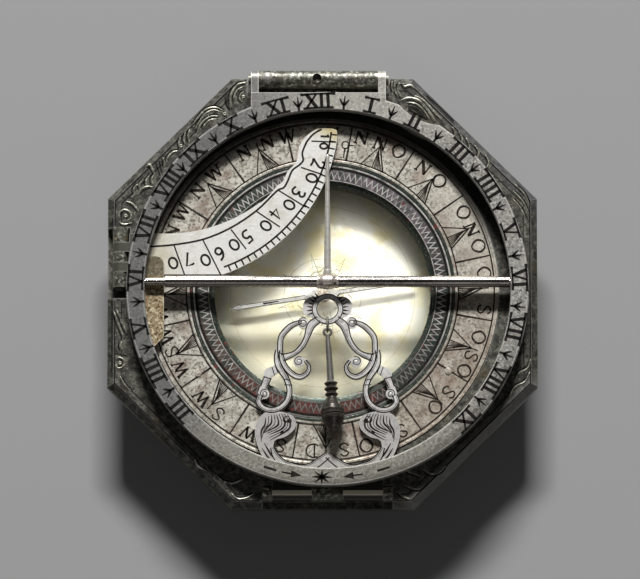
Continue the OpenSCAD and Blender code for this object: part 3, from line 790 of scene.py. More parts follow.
# Letters and figures on a unit height: the width, and strokes of (is it curved, points). A nought has
# no strokes, as it is an oval whose middle lies at a height of its own.
NOUGHT_MIDDLE = 0.42
GLYPHS: dict[str, tuple[float, list[tuple[bool, list[tuple[float, float]]]]]] = {
    "N": (0.95, [(False, [(0.08, 0), (0.08, 1)]), (False, [(0.86, 0), (0.86, 1)]),
                 (False, [(0.02, 1), (0.82, 0.02)]), (False, [(0.18, 1), (0.9, 0.12)]),
                 (False, [(-0.08, 0), (0.22, 0)]), (False, [(0.72, 1), (1.02, 1)])]),
    "D": (0.85, [(False, [(0.2, 0), (0.14, 1)]),
                 (True, [(-0.12, 0.94), (0.3, 1.02), (0.72, 0.8), (0.8, 0.4), (0.56, 0.06), (0.1, 0),
                         (-0.1, 0.1)])]),
    "S": (0.7, [(True, [(0.68, 0.78), (0.5, 0.98), (0.2, 0.95), (0.08, 0.74), (0.32, 0.55), (0.58, 0.4),
                        (0.66, 0.2), (0.46, 0.02), (0.16, 0.05), (0.02, 0.26)])]),
    "W": (1.25, [(False, [(0, 1), (0.3, 0)]), (False, [(0.12, 1), (0.36, 0.12)]),
                 (False, [(0.3, 0), (0.6, 1)]), (False, [(0.6, 1), (0.9, 0)]),
                 (False, [(0.7, 0.9), (0.94, 0.12)]), (False, [(0.9, 0), (1.2, 1)]),
                 (False, [(-0.1, 1), (0.2, 1)]), (False, [(1.08, 1), (1.32, 1)])]),
    "0": (0.62, []),
    "1": (0.4, [(False, [(0.05, 0.78), (0.28, 1), (0.28, 0)])]),
    "2": (0.65, [(True, [(0.05, 0.76), (0.2, 0.98), (0.48, 0.94), (0.54, 0.7), (0.3, 0.36), (0.03, 0.05)]),
                 (False, [(0.03, 0.04), (0.34, 0.1), (0.64, 0.02)])]),
    "3": (0.65, [(True, [(0.06, 0.92), (0.34, 1), (0.52, 0.82), (0.4, 0.6), (0.2, 0.52)]),
                 (True, [(0.2, 0.52), (0.5, 0.46), (0.6, 0.22), (0.4, 0), (0.04, 0.08)])]),
    "4": (0.7, [(False, [(0.46, 0), (0.5, 1), (0.04, 0.34), (0.68, 0.3)])]),
    "5": (0.62, [(False, [(0.6, 1), (0.16, 0.96), (0.12, 0.58)]),
                 (True, [(0.12, 0.58), (0.42, 0.6), (0.58, 0.34), (0.4, 0.04), (0.02, 0.06)])]),
    "6": (0.64, [(True, [(0.5, 0.98), (0.2, 0.78), (0.07, 0.4), (0.16, 0.07), (0.4, 0), (0.58, 0.2),
                         (0.5, 0.44), (0.3, 0.52), (0.1, 0.36)])]),
    "7": (0.62, [(False, [(0.02, 0.92), (0.12, 1), (0.6, 0.98), (0.2, 0)])]),
}


def glyph(letter: str) -> list[tuple[Array, bool]]:
    """Draws a letter or figure of unit height, centred on x = 0 with its foot at y = 0.

    Args:
        letter: one that GLYPHS holds.

    Returns:
        Its strokes, each with whether it closes on itself.
    """
    width, strokes = GLYPHS[letter]
    if not strokes:
        return [(oval(0, NOUGHT_MIDDLE, width / 2, NOUGHT_MIDDLE), True)]
    return [((smooth(points, 4) if curved else np.asarray(points, float)) - [width / 2, 0], False)
            for curved, points in strokes]


# Roman letters: the width in millimetres, then for each stroke the shares of that width at which its
# top and its foot stand, whether it is the thick one, and its width at the foot for 1 at the top.
ROMAN: dict[str, tuple[float, tuple[tuple[float, float, bool, float], ...]]] = {
    "I": (0.92, ((0.5, 0.5, True, 0.9),)),
    "V": (1.8, ((0.12, 0.52, True, 0.8), (0.9, 0.52, False, 1.0))),
    "X": (1.85, ((0.12, 0.88, True, 1.0), (0.88, 0.12, False, 1.2))),
}


@dataclass
class HourRing:
    """The hour ring's engraving: Roman hours, half-hour forks and the closing star.

    foot is the radius on which the hours stand, height theirs, widest the most that one may take
    along the ring, and star_lift the height above the foot at which the star lies.
    """

    centre: tuple[float, float] = (0.7, 0.0)
    face: float = 12.2
    bore: float = 25.5
    foot: float = 25.82
    height: float = 1.98
    widest: float = 4.2
    star_lift: float = 1.0
    hours: tuple[tuple[str, float], ...] = (
        ("XII", -2.8), ("XI", -15.4), ("X", -30.2), ("IX", -44.2), ("VIII", -56.3), ("VII", -71.2),
        ("VI", -87), ("V", -102.2), ("IIII", -115.9), ("III", -130.1), ("I", 13.1), ("II", 27.1),
        ("III", 43.4), ("IIII", 57.2), ("V", 72), ("VI", 87), ("VII", 102.3), ("VIII", 119.2), ("IX", 134))
    forks: tuple[float, ...] = (
        5, -8.9, -22.8, -36.7, -50, -64, -79.3, -94.3, -108.8, -123.7, 19.8, 35.4, 50.2, 64.3, 80, 95.7,
        110.9, 127.1)

    def roman(self, graver: Graver, text: str, angle: float) -> None:
        """Cuts one hour between its two bars, squeezed and thinner where it would be too wide.

        The bars pass the strokes by 0.62 mm a side at the top and less at the foot, bend with the
        ring, and widen to a wedge at their ends.

        Args:
            graver: where the strokes go.
            text: the hour in Roman letters.
            angle: degrees clockwise from the north.
        """
        total = sum(ROMAN[c][0] for c in text)
        squeeze = min(1.0, self.widest / total)
        thick, thin = (0.5, 0.28) if squeeze > 0.9 else (0.42, 0.24)
        spot = Spot(angle, self.foot, self.centre)
        x = -total * squeeze / 2
        for c in text:
            w = ROMAN[c][0] * squeeze
            for top, foot, heavy, taper in ROMAN[c][1]:
                width = thick if heavy else thin
                line = spot.put([(x + w * top, self.height), (x + w * foot, 0)])
                graver.cut(line, [width, width * taper])
            x += w
        over = total * squeeze / 2 + 0.62
        sag = over**2 / (2 * (self.foot + self.height))
        line = np.linspace(-1, 1, 7)
        for share, height, bend, width, wedge in ((1.0, self.height, 0.7, 0.28, 0.16),
                                                  (0.86, -0.02, 0.5, 0.26, 0.12)):
            bar = np.stack([line * over * share, height - sag * bend * line**2], 1)
            graver.cut(spot.put(bar), width + wedge * line**2)

    def fork(self, graver: Graver, angle: float) -> None:
        """Cuts a half-hour mark: three tapering prongs on a tail that runs in to the bore.

        Args:
            graver: where the strokes go.
            angle: degrees clockwise from the north.
        """
        spot = Spot(angle, self.bore + 0.06, self.centre)
        graver.cut(spot.put([(0, 0), (0, 0.9)]), [0.32, 0.36])
        for x, y in ((-0.66, 1.6), (0.06, 2.05), (0.7, 1.5)):
            graver.cut(spot.put([(0, 0.6), (x * 0.55, 1.08), (x, y)]), [0.34, 0.32, 0.12])

    def star(self, graver: Graver) -> None:
        """Cuts the star where the hours end, with the arrows and dashes at its sides.

        Args:
            graver: where the strokes go.
        """
        star, arrows, dashes = 181.7, ((172.3, 1), (190.9, -1)), (163.2, 197.3)
        radius = self.foot + self.star_lift
        spot = Spot(star, radius, self.centre)
        for turn in np.radians(np.arange(0, 180, 45)):
            x, y = np.cos(turn) * 1.4, np.sin(turn) * 1.05
            graver.cut(spot.put([(-x, -y), (0, 0), (x, y)]), [0.08, 0.5, 0.08])
        for angle, way in arrows:
            spot = Spot(angle, radius, self.centre)
            graver.cut(spot.put([(-1.3 * way, 0), (0.2 * way, 0)]), 0.22)
            graver.cut(spot.put([(1.4 * way, 0), (0, 0)]), [0.08, 1.0])
        for angle in dashes:
            graver.cut(Spot(angle, radius, self.centre).put([(-0.9, 0), (0.9, 0)]), 0.3)

    def build(self) -> None:
        """Builds the ring's pieces and dresses its nodes."""
        graver = Graver(self.face)
        for text, angle in self.hours:
            self.roman(graver, text, angle)
        for angle in self.forks:
            self.fork(graver, angle)
        self.star(graver)
        piece("hour_ring_engraving", graver.made(), CUT_FILL, "ring")
        dress("hour_ring", RING_SILVER)


@dataclass
class WindRose:
    """The wind rose ring's engraving: rays, hatched darts and the letters of sixteen winds.

    Darts and rays stand 1.2 degrees anticlockwise of their true winds, and each letter at its own
    angle. foot is the radius on which the letters stand, and apex that of a dart's point.
    """

    face: float = 9.8
    inner: float = 18.95
    outer: float = 24.2
    winds: int = 16
    offset: float = -1.2
    apex: float = 22.3
    half: float = 1.65
    foot: float = 21.78
    letters: tuple[tuple[str, float], ...] = (
        ("N", 3.5), ("N", 14), ("N", 21), ("O", 28), ("N", 38.5), ("O", 46), ("O", 60.2), ("N", 67),
        ("O", 73.4), ("O", 83.5), ("S", 96.5), ("O", 106.7), ("S", 114), ("O", 119.8), ("S", 129.2),
        ("O", 136.4), ("S", 150.8), ("S", 157.5), ("O", 164.5), ("S", 172.3), ("D", 184), ("S", 194.8),
        ("W", 207), ("S", 219.7), ("W", 228), ("W", 241), ("S", 247.6), ("W", 253.8), ("W", 262),
        ("W", 284.5), ("N", 292), ("W", 299.6), ("N", 309.5), ("W", 318.2), ("N", 331), ("N", 340),
        ("W", 347.5))

    def dart(self, graver: Graver, angle: float) -> None:
        """Cuts a dart from the inner line to its point, its right half hatched.

        Args:
            graver: where the strokes go.
            angle: degrees clockwise from the north.
        """
        spot = Spot(angle, 0)
        for x, top, tip, width in ((-self.half, 0, self.apex, 0.17), (self.half, 0, self.apex, 0.22),
                                   (0, 0, self.apex + 0.9, 0.16)):
            graver.cut(spot.put([(x, self.inner), (top, tip)]), width)
        for share in np.linspace(0.18, 0.84, 5):
            x = self.half * share
            graver.cut(spot.put([(x, self.inner), (x * 0.12, self.apex - 0.3 - share)]), 0.12)

    def letter(self, graver: Graver, text: str, angle: float) -> None:
        """Cuts one letter: 1.7 mm high, S and D 1.8 mm, and O a little higher with its foot drawn in.

        Args:
            graver: where the strokes go.
            text: N, O, S, W or D.
            angle: degrees clockwise from the north.
        """
        spot = Spot(angle, self.foot)
        if text == "O":
            turn = np.linspace(0, 2 * np.pi, 24, endpoint=False)
            drawn_in = 1 - 0.24 * np.abs(np.sin(turn)) * (np.sin(turn) < 0)
            way = np.stack([0.86 * np.cos(turn) * drawn_in, 0.93 + 0.93 * np.sin(turn)], 1)
            graver.cut(spot.put(way), 0.2 + 0.12 * np.abs(np.cos(turn)), closed=True)
            return
        for way, _ in glyph(text):
            graver.cut(spot.put(way, 1.8 if text in "SD" else 1.7), 0.23)

    def mark(self, graver: Graver) -> None:
        """Cuts the small ring on a stem, with a twig to its right, beside the north's letter.

        Args:
            graver: where the strokes go.
        """
        spot = Spot(8.7, 21.2)
        graver.cut(spot.put(oval(0, 0, 0.5, 0.5)), 0.18, closed=True)
        graver.cut(spot.put([(0, -0.55), (0, -1.9)]), [0.26, 0.14])
        graver.cut(spot.put([(0.55, 0), (1.3, 0.1)]), [0.22, 0.1])

    def build(self) -> None:
        """Builds the rose's pieces and dresses its nodes."""
        graver = Graver(self.face)
        graver.ring(self.inner + 0.05, 0.2)
        graver.ring(self.outer - 0.22, 0.22, 160)
        step = 360 / self.winds
        for i in range(self.winds):
            angle = i * step + self.offset
            ray = Spot(angle + step / 2, 0)
            graver.cut(ray.put([(0, self.inner), (0, self.outer - 0.2)]), [0.3, 0.2])
            self.dart(graver, angle)
        for text, angle in self.letters:
            self.letter(graver, text, angle)
        self.mark(graver)
        piece("wind_rose_engraving", graver.made(), ROSE_FILL, "base")
        dress("wind_rose_ring", ROSE_SILVER)
        dress("wind_rose_rivets", ROSE_SILVER)


@dataclass
class GlassRing:
    """The ring that holds the glass: a zigzag of thin crests between lines."""

    face: float = 9.8
    teeth: int = 128
    inner: float = 16.15
    outer: float = 17.2

    def crests(self) -> Solid:
        """The zigzag, whose radius jumps between the two sides at every half tooth, and two lines.

        Returns:
            The crests, as one solid.
        """
        turn = np.arange(2 * self.teeth) * np.pi / self.teeth
        radius = np.where(np.arange(2 * self.teeth) % 2 == 0, self.inner, self.outer)
        lines = Graver(self.face, 0.04)
        lines.cut(np.stack([radius * np.sin(turn), radius * np.cos(turn)], 1), 0.4, closed=True)
        lines.ring(17.93, 0.2, 160)
        lines.ring(self.inner - 0.25, 0.1, 140)
        return lines.made()

    def build(self) -> None:
        """Builds the ring's pieces and dresses the glass and its ring."""
        piece("glass_ring_crests", self.crests(), CREST_SILVER, "base")
        lines = Graver(self.face, 0.02)
        lines.ring(17.62, 0.3, 160)
        piece("glass_ring_lines", lines.made(), CUT_FILL, "base")
        dress("glass_ring", BEZEL_BRASS)
        dress("glass", GlassFinish())


@dataclass
class Compass:
    """The box with its card, needle, pivot and cap.

    reach is the radius of the outermost circle printed on the card, and card_face and needle_face
    are the heights of the two faces. needle_turn is how many degrees the needle at rest lies
    anticlockwise of the east-west line.
    """

    card_face: float = 6.0
    reach: float = 14.9
    needle_face: float = 7.4
    needle_turn: float = 9.0

    def card_print(self) -> Solid:
        """Circles, pointed rays and leaf strokes, faintly printed on the card.

        Returns:
            The print, as one solid.
        """
        graver = Graver(self.card_face, 0.008, 0.03)
        for radius, width in ((self.reach, 0.12), (12.9, 0.05), (5.4, 0.06)):
            graver.ring(radius, width, 96)
        for i in range(8):
            ray = Spot(i * 45 + 30, 0)
            for x, width in ((-0.5, 0.06), (0.5, 0.1)):
                graver.cut(ray.put([(x, 2.2), (0, 6.4)]), width)
        for i in range(7):
            leaf = Spot(i * 45 - 14, 3.1)
            graver.cut(leaf.put(smooth([(-1.1, 0), (-0.3, 0.55), (0.5, 0.45), (1.2, 0.9)], 4)), 0.16)
            graver.cut(leaf.put(smooth([(-0.6, 1.2), (0.1, 1.3), (0.8, 1.0)], 4)), 0.1)
        return graver.made()

    def needle_lines(self) -> Solid:
        """Dark lines along the needle's two edges and a slit in its west arm, turned with the needle.

        Returns:
            The lines, as one solid.
        """
        graver = Graver(self.needle_face, 0.01, 0.03)
        a = np.radians(self.needle_turn)
        turned = np.array([[np.cos(a), np.sin(a)], [-np.sin(a), np.cos(a)]])
        inside, hub, shoulder, tip = 0.27, 2.4, 11.7, 12.9
        for side in (-1, 1):
            west = [(-tip, 0.03), (-shoulder, 0.42), (0.1 - shoulder, inside), (-hub, inside)]
            east = [(hub, inside), (shoulder, inside), (tip, 0.12)]
            for arm in (west, east):
                graver.cut(np.array(arm) * [1, side] @ turned, 0.09)
        graver.cut(np.array([(-8.4, 0.02), (-6.2, 0.02)]) @ turned, [0.26, 0.14])
        return graver.made()

    def build(self) -> None:
        """Builds the print and the needle's lines and dresses the compass's nodes."""
        piece("compass_card_print", self.card_print(), CARD_INK, "base")
        dress("compass_card", PaperFinish())
        dress("card_plate", BOX_BRASS)
        dress("compass_box", BOX_BRASS)
        piece("compass_needle_lines", self.needle_lines(), ARC_FILL, "needle")
        dress("compass_needle", NEEDLE_STEEL)
        dress("needle_pivot", BOSS_GILT)
        dress("needle_cap", BOSS_GILT)


@dataclass
class LatitudeArc:
    """The latitude arc's scale: a ladder of five cells to a decade, decade lines and figures.

    The ladder is a strip along the outer edge, drawn between two angles about its own centre, and
    first_mark and mark_step are the angles of its rungs. Each decade is a line's two ends.
    """

    face: float = 10.5
    centre: tuple[float, float] = (-21.9, 25.1)
    radius: float = 24.2
    strip: float = 0.95
    ladder: tuple[float, float] = (-69.5, -6.0)
    first_mark: float = -6.86
    mark_step: float = -2.44
    figure: float = 1.85
    first_figure: float = 1.25
    border: tuple[tuple[float, float], ...] = (
        (-0.1, 23.08), (-1.23, 22.4), (-2.1, 21.4), (-2.5, 20.6), (-2.83, 19.6), (-2.7, 18.6),
        (-3.23, 17.94), (-4.23, 17.13), (-4.83, 15.7), (-5.43, 14.67), (-6.43, 14.16), (-9.2, 11.4),
        (-12.8, 8.94), (-16.6, 7.3), (-20.6, 6.53), (-23.8, 6.27), (-26.2, 6.3))
    decades: tuple[tuple[float, float, float, float], ...] = (
        (-1.55, 21.35, 1.88, 21.21), (-3, 17.58, -0.03, 16.56), (-6.17, 14.3, -2.33, 11.88),
        (-9.17, 11.24, -5.96, 9.06), (-12.79, 8.71, -10.67, 5.89), (-16.75, 7.3, -14.16, 2.15),
        (-20.74, 6.48, -19.24, 2.21))

    def on_edge(self, degrees: float | Array, radius: float | Array) -> Array:
        """Points at angles and radii about the scale's own centre."""
        turn = np.radians(degrees)
        return np.stack([self.centre[0] + radius * np.cos(turn), self.centre[1] + radius * np.sin(turn)], 1)

    def figures(self, graver: Graver, number: int, line: tuple[float, float, float, float]) -> None:
        """Cuts a decade's figure and nought at the two sides of its line, heads to the edge.

        Args:
            graver: where the strokes go.
            number: the decade, 1 for ten degrees.
            line: its line's two ends.
        """
        a, b = np.array(line[:2]), np.array(line[2:])
        up = (b - a) / np.linalg.norm(b - a)
        right = np.array([up[1], -up[0]])
        foot = a + (b - a) * 0.36
        size = self.figure if number > 1 else self.first_figure
        for text, shift in ((str(number), -1.25), ("0", 0.95)):
            base = foot + right * (shift * size / self.figure)
            for way, closed in glyph(text):
                graver.cut(base + size * (way[:, :1] * right + way[:, 1:] * up), 0.3, closed)

    def build(self) -> None:
        """Builds the arc's engraving and dresses it."""
        graver = Graver(self.face)
        graver.cut(self.on_edge(np.linspace(*self.ladder, 60), self.radius - self.strip), 0.26)
        graver.cut(smooth(self.border, 4), 0.27)
        rung = np.array([self.radius - self.strip, self.radius - 0.08])
        for mark in np.arange(self.first_mark, self.ladder[0], self.mark_step):
            graver.cut(self.on_edge(mark, rung), 0.22)
        for number, line in enumerate(self.decades, 1):
            graver.cut([line[:2], line[2:]], 0.2)
            self.figures(graver, number, line)
        piece("latitude_arc_scale", graver.made(), ARC_FILL, "arc")
        dress("latitude_arc", ARC_SILVER)


@dataclass
class PlumbBracket:
    """The pierced bracket's engraving: lines along its strands, veins, curled volutes and a ringed eye.

    It is drawn for the left half, with x from the bracket's middle and y from its hinge's axis, and
    cut on both halves. Strands and collars are rows of x, y and width, and volutes x, y and radius.
    The first veins lie side by side in the leaf, and a fine line is cut between each two of them.
    """

    face: float = 10.5
    middle: float = 0.7
    axis: float = -28.7
    eye: float = -2.65
    strands: tuple[tuple[Triple, ...], ...] = (
        ((-3.5, 24.2, 0.5), (-4.4, 24, 0.7), (-5.4, 23.4, 0.85), (-6.4, 22.2, 0.85), (-6.6, 20.9, 0.85),
         (-6.5, 19.4, 0.85), (-5.9, 17.9, 0.85), (-4.9, 16.8, 0.85), (-3.8, 16.4, 0.8), (-2.8, 17, 0.7),
         (-2.6, 17.9, 0.6), (-3.1, 18.7, 0.5)),
        ((-1.2, 24.6, 1), (-2.3, 23.7, 1.2), (-2.9, 22, 0.85), (-3.6, 20.7, 0.8), (-4.7, 19.7, 0.75),
         (-6.3, 19.1, 1.1)),
        ((-6.95, 20.2, 0.7), (-7.05, 19.2, 0.85), (-6.9, 18.2, 0.95), (-6.4, 17.2, 0.9), (-5.7, 16.1, 0.85),
         (-5.3, 14.5, 0.85), (-5.6, 13.1, 0.85), (-6.5, 12.1, 0.85), (-7.7, 11.7, 0.85), (-8.9, 12, 0.85),
         (-9.6, 12.9, 0.85), (-9.3, 13.9, 0.8)),
        ((-7.7, 6.4, 0.6), (-7.2, 5.2, 1), (-6.2, 4.1, 1.3), (-5, 3.6, 1.4), (-3.6, 3.3, 1.4),
         (-2.2, 3.7, 1.3), (-0.9, 4.6, 1.2), (0, 5.3, 1)))
    collars: tuple[tuple[Triple, ...], ...] = (((-8.35, 16.3, 1.15), (-8.9, 14.9, 1)),)
    bars: tuple[tuple[tuple[float, float], tuple[float, float]], ...] = (
        ((-7.3, 18), (-6.9, 17)), ((-7.75, 17.8), (-7.35, 16.6)), ((-8.9, 16.4), (-7.8, 16.1)),
        ((-6.05, 16.1), (-5.2, 15.9)), ((-6, 15.3), (-4.9, 15.2)), ((-6.95, 19.9), (-6.1, 19.6)))
    volutes: tuple[Triple, ...] = (
        (-3.4, 24.1, 0.78), (-4, 18.6, 0.72), (-8.8, 14, 0.66), (-5.75, 10.3, 0.5))
    leaf_veins: int = 5
    veins: tuple[tuple[tuple[float, float], ...], ...] = (
        ((-5.6, 11.1), (-5.2, 10.2), (-5.3, 9.1), (-6.4, 8.3), (-8, 7.4)),
        ((-6.4, 11.2), (-5.9, 9.9), (-6.4, 9), (-8.1, 8.2)),
        ((-7.1, 11.1), (-6.8, 9.9), (-7.2, 9.3), (-8.6, 8.6)),
        ((-7.8, 11), (-7.8, 9.9), (-8.4, 9.2), (-9, 8.3)),
        ((-8.6, 10.6), (-8.7, 9.6), (-9.2, 8.7), (-9.2, 7.2)),
        ((-9.1, 6.3), (-8.2, 4.9), (-7.3, 4.1)), ((-8.8, 7), (-8, 5.6), (-7.6, 5)))

    def placed(self, way: Array, side: int) -> Array:
        """Moves a drawing of the left half to one half of the bracket, its mirror image for -1."""
        return np.stack([self.middle + side * way[:, 0], self.axis + way[:, 1]], 1)

    def edges(self, graver: Graver, way: Array, side: int) -> None:
        """Cuts an outline inside both edges of a strand of x, y and width, and a fine line beside one.

        Args:
            graver: where the strokes go.
            way: the strand's rows.
            side: 1 for the half as drawn, -1 for its mirror image.
        """
        left = left_of(way[:, :2])
        for inset, width, edge in ((0.08, 0.17, -1), (0.08, 0.17, 1), (0.3, 0.07, 1)):
            graver.cut(self.placed(way[:, :2] + left * (edge * (way[:, 2:] / 2 - inset)), side), width)

    def leaf(self, graver: Graver, side: int) -> None:
        """Cuts the veins, each through twelve points at even steps and thin at its ends.

        Args:
            graver: where the strokes go.
            side: 1 for the half as drawn, -1 for its mirror image.
        """
        share = np.linspace(0, 1, 12)
        lines = []
        for vein in self.veins:
            way = smooth(vein, 5)
            steps = np.linspace(0, 1, len(way))
            line = np.stack([np.interp(share, steps, column) for column in way.T], 1)
            graver.cut(self.placed(line, side), 0.07 + 0.2 * np.sin(np.pi * share))
            lines.append(line)
        for one, other in zip(lines[: self.leaf_veins - 1], lines[1 : self.leaf_veins]):
            graver.cut(self.placed((one + other) / 2, side), 0.1)

    def volute(self, graver: Graver, ribs: Graver, spot: Triple, side: int) -> None:
        """Cuts a volute's curl, a spiral of 9 radians that runs in to a small boss.

        Args:
            graver: where the strokes go.
            ribs: where the ribs go.
            spot: its x, y and radius.
            side: 1 for the half as drawn, -1 for its mirror image.
        """
        x, y, radius = spot
        t = np.linspace(0, 1, 22)
        reach, turn = radius * (0.98 - 0.72 * t), 9 * t + 1
        curl = np.stack([x + reach * np.cos(turn), y + reach * np.sin(turn)], 1)
        graver.cut(self.placed(curl, side), 0.13)
        ribs.bead(self.placed(oval(x, y, radius * 0.16, radius * 0.16, 8), side), radius * 0.34, 0.1)

    def fan(self, graver: Graver, side: int) -> None:
        """Cuts the wedges that stand round the eye on one side.

        Args:
            graver: where the strokes go.
            side: 1 for the half as drawn, -1 for its mirror image.
        """
        for a in np.radians(np.linspace(128, 196, 7)):
            ray = np.outer((2.2, 2.95), (np.cos(a), np.sin(a))) + [0, self.eye - self.axis]
            graver.cut(self.placed(ray, side), [0.3, 0.05])

    def build(self) -> None:
        """Builds the bracket's engraving and dresses it with its bob and link."""
        graver, ribs = Graver(self.face), Graver(self.face)
        for side in (1, -1):
            for strand in self.strands:
                self.edges(graver, smooth(strand, 5), side)
            for collar in self.collars:
                self.edges(graver, np.asarray(collar, float), side)
            for bar in self.bars:
                graver.cut(self.placed(np.asarray(bar, float), side), 0.13)
            self.leaf(graver, side)
            for spot in self.volutes:
                self.volute(graver, ribs, spot, side)
            self.fan(graver, side)
        for radius, width in ((1.5, 0.12), (2.12, 0.14)):
            graver.ring(radius, width, 48, (self.middle, self.eye))
        piece("plumb_bracket_beads", ribs.made(), BRACKET_SILVER, "bracket", soft=True)
        piece("plumb_bracket_engraving", graver.made(), ARC_FILL, "bracket")
        dress("plumb_bracket", BRACKET_SILVER)
        dress("plumb_link", HINGE_BRASS)
        dress("plumb_bob", BOB_BRONZE)


@dataclass
class Plate:
    """The eight-sided plate's chased ornament: scrolls and leaves in the corners the ring leaves free.

    Each rib is a width and a row of points, and gets a cut along its right side. Each cut is a line
    without a rib, and each bead an x, y and radius. half and slant are the distances from the
    middle to the straight sides and to the slanted ones.
    """

    face: float = 9.7
    rise: float = 0.09
    half: tuple[float, float] = (30.0, 30.7)
    slant: float = 30.7
    ribs: tuple[tuple[float, tuple[tuple[float, float], ...]], ...] = (
        (0.36, ((-10.6, 30), (-11.8, 29.7), (-12.6, 28.7), (-12.95, 27.5), (-12.7, 26.1))),
        (0.3, ((-11, 29.4), (-11.9, 28.9), (-12.4, 27.8), (-12.2, 26.65))),
        (0.28, ((-11, 28.7), (-11.5, 28.2), (-11.6, 27.5), (-11.2, 27.1))),
        (0.3, ((-13.8, 25.8), (-15, 26.4), (-16.3, 26.1), (-17.3, 25.1), (-18.3, 23.75))),
        (0.3, ((-14, 25.6), (-15.2, 26), (-16.3, 25.55), (-17.2, 24.4), (-17.9, 23.1))),
        (0.28, ((-14.4, 25.1), (-15.6, 25.1), (-16.7, 24.4), (-17.3, 23.5), (-17.55, 22.6))),
        (0.26, ((-14.6, 24.7), (-15.7, 24.6), (-16.5, 23.9), (-16.8, 23.2))),
        (0.28, ((-18.6, 23.3), (-18.8, 22.2), (-18.6, 21.3))),
        (0.28, ((-19.2, 22.8), (-19.4, 21.8), (-19.2, 21))),
        (0.28, ((-19.9, 22.1), (-20.1, 21.3), (-19.9, 20.3))),
        (0.34, ((-20.2, 20.15), (-21, 19.9), (-21.7, 19.05), (-21.8, 18.4))),
        (0.3, ((-22.35, 19.2), (-22.1, 18.4), (-22.2, 17.7))),
        (0.34, ((-24.65, 17.9), (-24.2, 18.15), (-23.8, 17.5), (-23.5, 16.7))),
        (0.3, ((-23.4, 17), (-23.9, 16), (-23.7, 15.2))),
        (0.3, ((-24.2, 16.6), (-24.7, 15.8), (-24.6, 15))),
        (0.3, ((-25, 16.1), (-25.6, 15.3), (-25.5, 14.5))),
        (0.3, ((-25.8, 15.4), (-26.4, 14.7), (-26.3, 13.9), (-26.8, 13.4))),
        (0.34, ((-25.9, 13.7), (-25.3, 14.6), (-24.5, 15), (-23.6, 14.9))),
        (0.3, ((-27.5, 12.9), (-26.7, 12.6), (-26.1, 12), (-25.7, 11.4))),
        (0.3, ((-28.4, 10.3), (-28.4, 11.2), (-27.7, 11.7), (-26.9, 11.3), (-26.8, 10.5), (-27.4, 10.1))),
        (0.26, ((-28.4, 9.9), (-27.8, 9.6), (-26.6, 9.8))),
        (0.34, ((-29.1, -2.8), (-28.4, -4.8), (-27.6, -6.8))),
        (0.3, ((-28.7, -2.6), (-27.9, -4.6), (-27.2, -6.05))),
        (0.4, ((-28, -7.1), (-28.1, -7.8), (-27.9, -8.4))),
        (0.3, ((-28.8, -9.6), (-28.2, -9.4), (-27.6, -9.9), (-27.8, -10.7), (-28.5, -10.9),
               (-28.8, -10.4))),
        (0.3, ((9.8, 30.2), (9.75, 29.3), (9.95, 28.5))),
        (0.3, ((10.2, 30.3), (10.1, 29.4), (10.2, 28.7), (10.7, 27.8))),
        (0.28, ((10.8, 30), (10.55, 29.1), (10.7, 28.4), (11.2, 27.8))),
        (0.34, ((11.3, 29.9), (11.5, 29.4), (12.3, 29.6), (12.9, 29.1))),
        (0.4, ((10.9, 27.3), (11.7, 27.7), (12.6, 27.7), (13.45, 27.4), (14.3, 26.6), (15.2, 25.4),
               (15.95, 24.2))),
        (0.3, ((12.9, 28.1), (13.9, 27.6), (14.9, 26.6), (15.95, 25.4), (17.4, 23.9))),
        (0.26, ((11.8, 27.1), (13, 26.95), (13.9, 26.3), (14.6, 25.4), (15.1, 24.6))),
        (0.26, ((18.2, 23.6), (18.6, 22.7), (18.4, 21.8))),
        (0.26, ((19.1, 22.9), (19.6, 21.9), (19.4, 21))),
        (0.26, ((20.1, 22), (20.6, 21), (20.4, 20.1))),
        (0.26, ((21.3, 21), (21.9, 19.9), (21.5, 18.9))),
        (0.26, ((22.8, 19.6), (23.3, 18.5), (22.9, 17.6))),
        (0.24, ((29, 12.2), (28.2, 14), (26.9, 15.4))),
        (0.24, ((28.9, 10.9), (28, 12.9), (26.6, 14.5))),
        (0.24, ((28.7, 9.8), (27.7, 11.9), (26.6, 13.3))),
        (0.28, ((29, -9.6), (28.6, -10.9), (27.4, -11.6), (26.8, -12.7))),
        (0.28, ((28.9, -11.4), (28.2, -12.8), (26.8, -13.6), (26, -15))),
        (0.28, ((10.4, -28.4), (11.2, -29.1), (12.2, -29.5))),
        (0.3, ((10.7, -24.8), (12, -25.6), (13.6, -26.2))),
        (0.26, ((11.2, -27.4), (12.6, -28), (13.6, -27.9), (14.3, -27.2))),
        (0.26, ((13.9, -25.2), (15.1, -25.9), (16.3, -25.6), (17.1, -24.8))),
        (0.28, ((-9.4, -28.6), (-10.6, -29.3), (-11.8, -29.4), (-12.7, -28.6))),
        (0.28, ((-11, -26.6), (-12.4, -27.2), (-13.9, -26.9), (-14.8, -26))),
        (0.26, ((-16, -25.6), (-17.2, -24.9), (-17.8, -23.8))),
        (0.26, ((-26.6, -14.2), (-27.6, -13.2), (-28.2, -12))))
    cuts: tuple[tuple[float, tuple[tuple[float, float], ...]], ...] = (
        (0.32, ((-13.6, 27.8), (-13.5, 26.8), (-13, 26))), (0.2, ((-23.4, 18.5), (-22.75, 16.6))),
        (0.2, ((-22.9, 18.7), (-22.5, 17))), (0.18, ((-29.35, 10.5), (-29.35, 9.4))),
        (0.18, ((-29.35, -1.4), (-29.35, -11.3))), (0.16, ((-28.9, -8.8), (-27.2, -9.2))),
        (0.5, ((12, 26.4), (13, 26.2), (13.8, 25.4), (14.2, 24.9))),
        (0.26, ((14.6, 28.1), (16.4, 26.4), (18.4, 24.4))))
    beads: tuple[Triple, ...] = (
        (-19.8, 20.8, 0.3), (-13.7, 25.4, 0.34), (-11.1, 27.9, 0.3), (-27.5, 10.8, 0.3),
        (-28.2, -10.2, 0.3))
